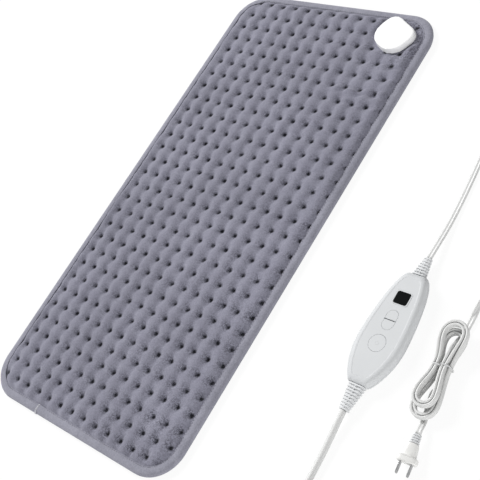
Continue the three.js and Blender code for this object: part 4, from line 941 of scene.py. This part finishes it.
# Short threads of one size, full in the middle, each at a place and along a way; an arch sinks their ends.
def make_threads(name, places, ways, size, blunt, arch, material, slot, steps=4, sides=6):
    length, width, height = size
    vertices, faces = [], []
    for (x, y, z), along in zip(places, ways):
        faces += tube_faces(len(vertices), steps + 1, sides)
        across = np.array((-along[1], along[0]))
        for k in range(steps + 1):
            share = k / steps
            body = math.sin(math.pi * lerp(blunt, 1 - blunt, share))
            for j in range(sides):
                angle = 2 * math.pi * j / sides
                off = along * (share - 0.5) * length + across * width / 2 * body * math.cos(angle)
                rise = arch * (body - 0.6) + height / 2 * body * math.sin(angle)
                vertices.append((x + off[0], y + off[1], z + rise))
    piece(name, vertices, faces, material, slot)


# Knot of sewing thread at the bottom of each tuft; its near-black colour also stands for the painted shade in
# the tuft's pit.
def make_knots():
    x, y = tuft_places()
    turns = np.random.default_rng(11).uniform(-0.5, 0.5, len(x))
    ways = np.stack([np.cos(turns), np.sin(turns)], axis=1)
    places = np.stack([x, y, quilt_top(x, y)], axis=1)
    make_threads("tuft_knots", places, ways, KNOT_SIZE, 0.1, 0.0, KNOT_AND_PIT_SHADE, "plush")


def make_back():
    def under(x, y):
        sag = smoothstep(inside(x, y), BINDING_WIDTH, BINDING_WIDTH + 8)
        rough = BACK_ROUGH * (1 + lumps(x, y, 14.0, 5.1))
        return lerp(HEM_BOTTOM, BACK_LOW + BACK_PIT * pinch(x, y, BACK_PIT_RADIUS) + rough, sag)

    back = layer("back_cloth", HEM_INSET, BACK_GRID, level_at(BACK_TOP), under, BACK_PLUSH, "plush")
    shade_and_ruffle_pile(back.data)
    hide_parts("back_panel")


def make_felts():
    for name, low, seed in (("lower_felt", LOWER_FELT_BOTTOM, 8.3), ("upper_felt", UPPER_FELT_BOTTOM, 2.9)):
        rough = lambda x, y, level: level + FELT_ROUGH * lumps(x, y, 6.0, seed)
        top = lambda x, y: rough(x, y, low + FELT_THICKNESS - FELT_MARGIN)
        bottom = lambda x, y: rough(x, y, low + FELT_MARGIN)
        felt = layer(name + "_batt", FELT_INSET, FELT_GRID, top, bottom, FELT, "felt")
        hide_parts(name)


# Section of the folded tape: distance in from the pad's edge, and height.
TAPE_PROFILE = np.array([
    (10.5, 7.3), (10.25, 7.8), (9.5, 7.97), (8.2, 8.0), (6.6, 8.03), (4.7, 7.85), (3.0, 7.3), (1.5, 6.45),
    (0.45, 5.25), (0.0, 4.05), (0.3, 2.7), (1.15, 1.35), (2.5, 0.45), (4.2, 0.1), (6.5, 0.05), (8.4, 0.05),
    (9.8, 0.1), (10.4, 0.35), (10.5, 0.7), (10.0, 0.95), (7.0, 0.95), (4.6, 1.05), (3.0, 1.75), (1.95, 2.85),
    (1.7, 4.05), (1.95, 5.1), (2.9, 6.15), (4.6, 6.9), (7.0, 7.1), (10.0, 7.1),
])
TAPE_INNER_TOP = 7.1
TAPE_OUTSIDE = 12
TAPE_GRID = 2.6
TAPE_LOFT = 0.2
TAPE_PUCKER = 0.28
TAPE_GATHER = 0.45
TAPE_SWELL = 0.7
TAPE_LAP = 0.6
TAPE_JOIN_X = -58.0
JOIN_THREAD = 2.0
JOIN_SLANT = 0.2
STITCH_PITCH = 3.4
STITCH_INSET = 9.4
STITCH_LEVEL = 8.02
STITCH_SIZE = (2.6, 0.6, 0.3)


def tape_frame(spacing):
    outline = pad_outline(spacing)
    along = np.roll(outline, -1, axis=0) - np.roll(outline, 1, axis=0)
    along /= np.linalg.norm(along, axis=1, keepdims=True)
    inward = np.stack([-along[:, 1], along[:, 0]], axis=1)
    return outline, along, inward


# Bias tape folded round the edge, puckered a little along it and more at the corners, lapped at its join.
def make_binding():
    outline, _, inward = tape_frame(TAPE_GRID)
    x, y = outline.T
    pucker = lumps(x, y, 7.0, 3.3)
    gather = lumps(x, y, 2.7, 9.1)
    straight_x = PAD_WIDTH / 2 - PAD_CORNER
    straight_y = PAD_LENGTH / 2 - PAD_CORNER
    bend = smoothstep(np.minimum(np.abs(x) - straight_x, np.abs(y) - straight_y), -4, 8)
    past = x - TAPE_JOIN_X
    lap = TAPE_LAP * smoothstep(past, -1.3, 0.0) * (1 - smoothstep(past, 8.0, 18.0)) * (y < -straight_y)
    loft = 1 + TAPE_LOFT * left_share(x)
    swell = TAPE_PUCKER * pucker + TAPE_GATHER * bend * gather + lap
    vertices = []
    for i in range(len(outline)):
        for s, z in TAPE_PROFILE:
            on_top = z > TAPE_INNER_TOP
            shift = swell[i] if on_top or s < 3 else 0.0
            wide = 0.5 * pucker[i] * max(0.0, s / BINDING_WIDTH - 0.5) if on_top else 0.0
            place = outline[i] + inward[i] * (max(s, 0.02) + wide + max(0.0, -0.3 * shift))
            vertices.append((*place, z * loft[i] + (min(shift, TAPE_SWELL) if on_top else 0.0)))
    faces = band_faces(0, len(outline), len(TAPE_PROFILE), closed=True)
    tape = piece("edge_tape", vertices, faces, BINDING, "binding")
    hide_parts("edge_binding")


# Sewn join of the tape, slanting across it on the near edge; its pale thread is also the painted highlight of
# the lit fold at the join.
def make_tape_join():
    start = TAPE_JOIN_X - JOIN_THREAD
    over = TAPE_PROFILE[:TAPE_OUTSIDE]
    route = [(start + JOIN_SLANT * s, s - PAD_LENGTH / 2, z + JOIN_THREAD / 8, 0.0) for s, z in over]
    piece("tape_join", *swept(np.array(route), round_section(JOIN_THREAD, 8)), SEAM_AND_FOLD_HIGHLIGHT, "binding")


def make_stitches():
    outline, along, inward = (row[::2] for row in tape_frame(STITCH_PITCH / 2))
    places = [(x, y, STITCH_LEVEL) for x, y in outline + inward * STITCH_INSET]
    make_threads("edge_stitches", places, along, STITCH_SIZE, 0.08, STITCH_SIZE[2], THREAD, "binding")


def make_pad():
    make_front()
    make_knots()
    make_back()
    make_felts()
    make_binding()
    make_tape_join()
    make_stitches()
    paint("heating_wire", SLEEVE)
    paint("thermal_fuse", SEAL)


def make_socket():
    dress("socket_base", WHITE, 0.25)
    dress("socket_cover", WHITE, 0.5, segments=3)
    paint("contact_block", DARK)
    for i in (1, 2, 3):
        paint(f"contact_pin_{i}", BRASS)
    for i in (1, 2):
        paint(f"socket_screw_{i}", STEEL)


def bezier(points, steps):
    share = np.linspace(0.0, 1.0, steps + 1)[:, None]
    a, b, c, d = np.asarray(points, float)
    rest = 1 - share
    return rest**3 * a + 3 * rest**2 * share * b + 3 * rest * share**2 * c + share**3 * d


# Pebble outline of the case about its middle, as the solids have it.
def case_outline(spacing=1.5):
    half, side = CASE_LENGTH / 2, CASE_WIDTH / 2
    near_x, far_x = CASE_NEAR_END / 2, CASE_FAR_END / 2
    widest = half - CASE_WIDEST
    middle = (side, widest)
    near = [(near_x, -half), (near_x + CASE_NEAR_SHOULDER, -half), (side, widest - CASE_NEAR_REACH), middle]
    far = [middle, (side, widest + CASE_FAR_REACH), (far_x + CASE_FAR_SHOULDER, half), (far_x, half)]
    right = np.vstack([bezier(near, 40), bezier(far, 40)[1:]])
    loop = np.vstack([right, right[::-1] * (-1, 1)])
    even, _ = evenly(np.vstack([loop, loop[:1]]), spacing)
    return even[:-1]


# Section of the upper shell as heights and insets: its outside up to the sunk face, then its inside down.
def shell_section(steps=12):
    outer = []
    for i in range(steps + 1):
        angle = math.pi / 2 * i / steps
        rise = (CASE_RIM - CASE_SPLIT) * math.sin(angle) ** CASE_ROUND
        outer.append((CASE_SPLIT + rise, CASE_SHOULDER * (1 - math.cos(angle) ** CASE_ROUND)))
    outer += [(height, CASE_SHOULDER + past) for height, past in CASE_STEP]
    inner = [(CASE_ROOF - down, inset) for down, inset in CASE_HOLLOW]
    return outer, inner + [(CASE_SPLIT, CASE_WALL)]


def case_ring(outline, height, depth):
    x = CASE_X + outline[:, 0] * (1 - 2 * depth / CASE_WIDTH)
    y = CASE_Y + outline[:, 1] * (1 - 2 * depth / CASE_LENGTH)
    return [(a, b, height) for a, b in zip(x, y)]


# Outline of the lowest ring of points above a height on some nodes, grown by a gap.
def footprint(names, above, grow):
    places = [nodes[name].matrix_world @ v.co for name in names for v in nodes[name].data.vertices]
    upper = np.array([place for place in places if place[2] > above * MM]) / MM
    ring = upper[upper[:, 2] < upper[:, 2].min() + 0.05, :2]
    middle = (ring.max(axis=0) + ring.min(axis=0)) / 2
    away = ring - middle
    away = away[np.hypot(away[:, 0], away[:, 1]) > 1]
    away = away[np.argsort(np.arctan2(away[:, 1], away[:, 0]))]
    away = away[np.linalg.norm(away - np.roll(away, 1, axis=0), axis=1) > 0.05]
    return middle + away * (1 + grow / np.linalg.norm(away, axis=1, keepdims=True))


# Cutter for the shell: a closed block over an outline.
def block(name, outline, low, high):
    vertices = [(x, y, z) for z in (low, high) for x, y in outline]
    mesh = bpy.data.meshes.new(name)
    mesh.from_pydata((np.array(vertices) * MM).tolist(), [], tube_faces(0, 2, len(outline)))
    return added(name, mesh)


def relief_cutter(name):
    made = added(name + "_cut", welded(name, name + "_cut"))
    made.matrix_world = nodes[name].matrix_world
    return made


# Upper shell of the controller: a smooth pebble cut for the window, the keys and the reliefs.
def make_case_shell():
    outline = case_outline()
    count = len(outline)
    outer, inner = shell_section()
    vertices = [place for at in outer + inner for place in case_ring(outline, *at)]
    faces = band_faces(0, len(outer + inner), count, closed=True)
    roof = len(outer) * count
    face = roof - count
    faces[face:roof] = []
    faces += [tuple(range(face, roof)), tuple(range(roof, roof + count))[::-1]]
    shell = piece("case_top_shell", vertices, faces, CASE, "case_plastic")
    low, high = CASE_FACE - 2 * CASE_WALL, CASE_FACE + 2 * CASE_WALL
    window, power = ["display_window"], ["power_button"]
    levels = ["level_up_button", "level_down_button"]
    frame_outline = footprint(window, CASE_FACE - 1, KEY_GAP + FRAME_WIDTH)
    frame_block = block("window_frame", frame_outline, CASE_FACE - CASE_WALL / 2, CASE_FACE + FRAME_RISE)
    cutters = [
        frame_block,
        block("window_cut", footprint(window, CASE_FACE - 1, KEY_GAP), low, high),
        block("level_cut", footprint(levels, CASE_FACE - 0.5, KEY_GAP), low, high),
        block("power_cut", footprint(power, CASE_FACE - 0.5, KEY_GAP), low, high),
        relief_cutter("mains_strain_relief"),
        relief_cutter("pad_strain_relief"),
    ]
    for cutter in cutters:
        cut = shell.modifiers.new(cutter.name, "BOOLEAN")
        cut.operation = "UNION" if cutter is frame_block else "DIFFERENCE"
        cut.solver = "EXACT"
        cut.object = cutter
    bpy.context.view_layer.update()
    graph = bpy.context.evaluated_depsgraph_get()
    mesh = bpy.data.meshes.new_from_object(shell.evaluated_get(graph))
    shell.modifiers.clear()
    shell.data = mesh
    for cutter in cutters:
        bpy.data.objects.remove(cutter)
    mesh.set_sharp_from_angle(angle=SHELL_ANGLE)
    shell.modifiers.new("flat_faces", "WEIGHTED_NORMAL").keep_sharp = True
    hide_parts("case_top")


# Posts inside the upper shell that the case screws go into.
def make_case_posts(sides=20):
    radii = (POST_RADIUS, POST_RADIUS, POST_BORE, POST_BORE)
    wall = list(zip(radii, (CASE_SPLIT, CASE_ROOF, CASE_ROOF, CASE_SPLIT)))
    vertices, faces = [], []
    for y in (-CASE_SCREW_SPACING / 2, CASE_SCREW_SPACING / 2):
        faces += band_faces(len(vertices), len(wall), sides, closed=True)
        for radius, height in wall:
            ring = round_section(2 * radius, sides)
            vertices += [(CASE_X + a, CASE_Y + y + b, height) for a, b in ring]
    posts = piece("case_posts", vertices, faces, CASE, "case_plastic", smooth=False)
    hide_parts("case_top")


def make_controller():
    make_case_shell()
    make_case_posts()
    dress("case_bottom", CASE, 0.3)
    dress("display_window", GLASS, 0.15)
    for key in ("power", "level_up", "level_down"):
        dress(f"{key}_button", CASE, 0.2, f"{key}_key")
        paint(f"{key}_switch", DARK)
        paint(f"{key}_plunger", STEEL)
    for side in ("mains", "pad"):
        dress(f"{side}_strain_relief", RUBBER, 0.25)
    paint("display_module", DARK)
    paint("circuit_board", BOARD)
    paint("triac", DARK)
    paint("capacitor", FILM)
    paint("mains_fuse", SEAL)
    for i in (1, 2):
        paint(f"case_screw_{i}", STEEL)
    make_icon()


# Power symbol printed on the round key: an open ring and a bar.
def make_icon(steps=32):
    turns = [lerp(ICON_GAP, 2 * math.pi - ICON_GAP, i / steps) for i in range(steps + 1)]
    arc = [(POWER_RADIUS * math.sin(a), POWER_RADIUS * math.cos(a)) for a in turns]
    bar = [(0.0, POWER_RADIUS * lerp(0.35, 1.2, i / 4)) for i in range(5)]
    section = np.array([(0.5, 0.5), (-0.5, 0.5), (-0.5, -0.5), (0.5, -0.5)]) * (PRINT_WIDTH, PRINT_HEIGHT)
    for name, line in (("power_ring", arc), ("power_bar", bar)):
        route = np.array([(CASE_X + x, POWER_Y + y, KEY_TOP + PRINT_HEIGHT / 2, 0.0) for x, y in line])
        piece(name, *swept(route, section), ICON, "case_plastic", "power_key", smooth=False)


# One turn of wire round the hank's waist, in place of the plain band.
def make_hank_tie(steps=96, sides=10):
    places = np.array([nodes["hank_tie"].matrix_world @ v.co for v in nodes["hank_tie"].data.vertices]) / MM
    across = np.array((math.cos(HANK_TURN), math.sin(HANK_TURN), 0.0))
    axis = np.array((-math.sin(HANK_TURN), math.cos(HANK_TURN), 0.0))
    up = np.array((0.0, 0.0, 1.0))
    x, z = places @ across, places[:, 2]
    middle = (x.max() + x.min()) / 2 * across + (places @ axis).mean() * axis + (z.max() + z.min()) / 2 * up
    half_x, half_z = np.ptp(x) / 2 - TIE_WIRE / 2, np.ptp(z) / 2 - TIE_WIRE / 2
    route = []
    for i in range(steps + 1):
        angle = math.pi / 2 + 2 * math.pi * i / steps
        c, s = math.cos(angle), math.sin(angle)
        stretch = (abs(c) ** 4 + abs(s) ** 4) ** -0.25
        drift = (i / steps - 0.5) * 1.2 * TIE_WIRE
        at = middle + across * half_x * stretch * c + up * half_z * stretch * s + axis * drift
        route.append((*at, 0.0))
    made = piece("hank_wire", *swept(np.array(route), round_section(TIE_WIRE, sides), axis), TIE, "tie")
    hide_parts("hank_tie")
    return made


def make_ends():
    plug = [
        dress("plug_strain_relief", RUBBER, 0.2),
        dress("plug_body", PLUG, 0.45, segments=3),
        dress("plug_blade_left", BLADE, 0.15),
        dress("plug_blade_right", BLADE, 0.15),
        make_hank_tie(),
    ]
    connector = [
        dress("connector_strain_relief", RUBBER, 0.2),
        dress("connector_body", PLUG, 0.45, segments=3),
        dress("coil_tie", TIE, 0.1),
    ]
    for i in (1, 2, 3):
        paint(f"connector_contact_{i}", BRASS)
        connector.append(nodes[f"connector_contact_{i}"])
    return plug, connector


def make_cords(plug, connector):
    cord_piece(
        "mains_cord",
        mains_route(),
        twin_section(),
        1.8,
        ("mains_lead", "mains_hank", "mains_tail"),
    )
    cord_piece(
        "pad_cord",
        pad_route(),
        round_section(ROUND_DIAMETER),
        2.0,
        ("pad_lead", "pad_lead_coil", "pad_lead_tail"),
    )


# One for rays from the camera, and for reflections and glass, that should see a white background.
def background_rays(parts, links):
    paths = parts.new("ShaderNodeLightPath")
    seen = paths.outputs["Is Camera Ray"]
    for name in ("Is Glossy Ray", "Is Transmission Ray"):
        either = parts.new("ShaderNodeMath")
        either.operation = "MAXIMUM"
        links.new(seen, either.inputs[0])
        links.new(paths.outputs[name], either.inputs[1])
        seen = either.outputs["Value"]
    return seen


def mixed(parts, links, factor, first, second, target):
    mix = parts.new("ShaderNodeMixShader")
    links.new(factor, mix.inputs["Fac"])
    links.new(first, mix.inputs[1])
    links.new(second, mix.inputs[2])
    links.new(mix.outputs["Shader"], target)


def make_world():
    world = bpy.data.worlds.new("studio")
    scene.world = world
    world.use_nodes = True
    parts, links = world.node_tree.nodes, world.node_tree.links
    soft, white = parts["Background"], parts.new("ShaderNodeBackground")
    for background, strength in ((soft, SKY_LIGHT), (white, 1.0)):
        background.inputs["Color"].default_value = (1.0, 1.0, 1.0, 1.0)
        background.inputs["Strength"].default_value = strength
    surface = parts["World Output"].inputs["Surface"]
    sky, backdrop = soft.outputs["Background"], white.outputs["Background"]
    mixed(parts, links, background_rays(parts, links), sky, backdrop, surface)


# Pale floor that the camera sees as nearly white, with some of the object's shadow left.
def make_floor():
    floor_paint = shader("floor", (0.86, 0.86, 0.86), 1.0, Specular_IOR_Level=0.0)
    parts, links = floor_paint.node_tree.nodes, floor_paint.node_tree.links
    glow = parts.new("ShaderNodeEmission")
    glow.inputs["Strength"].default_value = FLOOR_GLOW
    share = parts.new("ShaderNodeMath")
    share.operation = "MULTIPLY"
    share.inputs[1].default_value = FLOOR_GLOW_SHARE
    links.new(background_rays(parts, links), share.inputs[0])
    lit = principled(floor_paint).outputs["BSDF"]
    surface = parts["Material Output"].inputs["Surface"]
    mixed(parts, links, share.outputs["Value"], lit, glow.outputs["Emission"], surface)
    mesh = bpy.data.meshes.new("floor")
    corners = [(x * FLOOR_REACH, y * FLOOR_REACH, 0) for x, y in ((-1, -1), (1, -1), (1, 1), (-1, 1))]
    mesh.from_pydata(corners, [], [(0, 1, 2, 3)])
    mesh.materials.append(floor_paint)
    floor = added("floor", mesh)
    floor.location.z = FLOOR_LEVEL


def lamp(name, place, size, watts):
    data = bpy.data.lights.new(name, "AREA")
    data.shape = "DISK"
    data.size = size
    data.energy = watts
    made = added(name, data)
    made.location = place
    aim = Vector(LAMP_AIM) - Vector(place)
    made.rotation_euler = aim.to_track_quat("-Z", "Y").to_euler()


def make_studio():
    make_world()
    make_floor()
    lamp("key", (-4.4, 1.6, 3.2), 2.2, 350.0)
    lamp("fill", (1.9, -1.6, 0.85), 1.2, 32.0)


make_camera()
make_cords(*make_ends())
make_pad()
make_socket()
make_controller()
make_studio()
scene.view_settings.view_transform = "Standard"
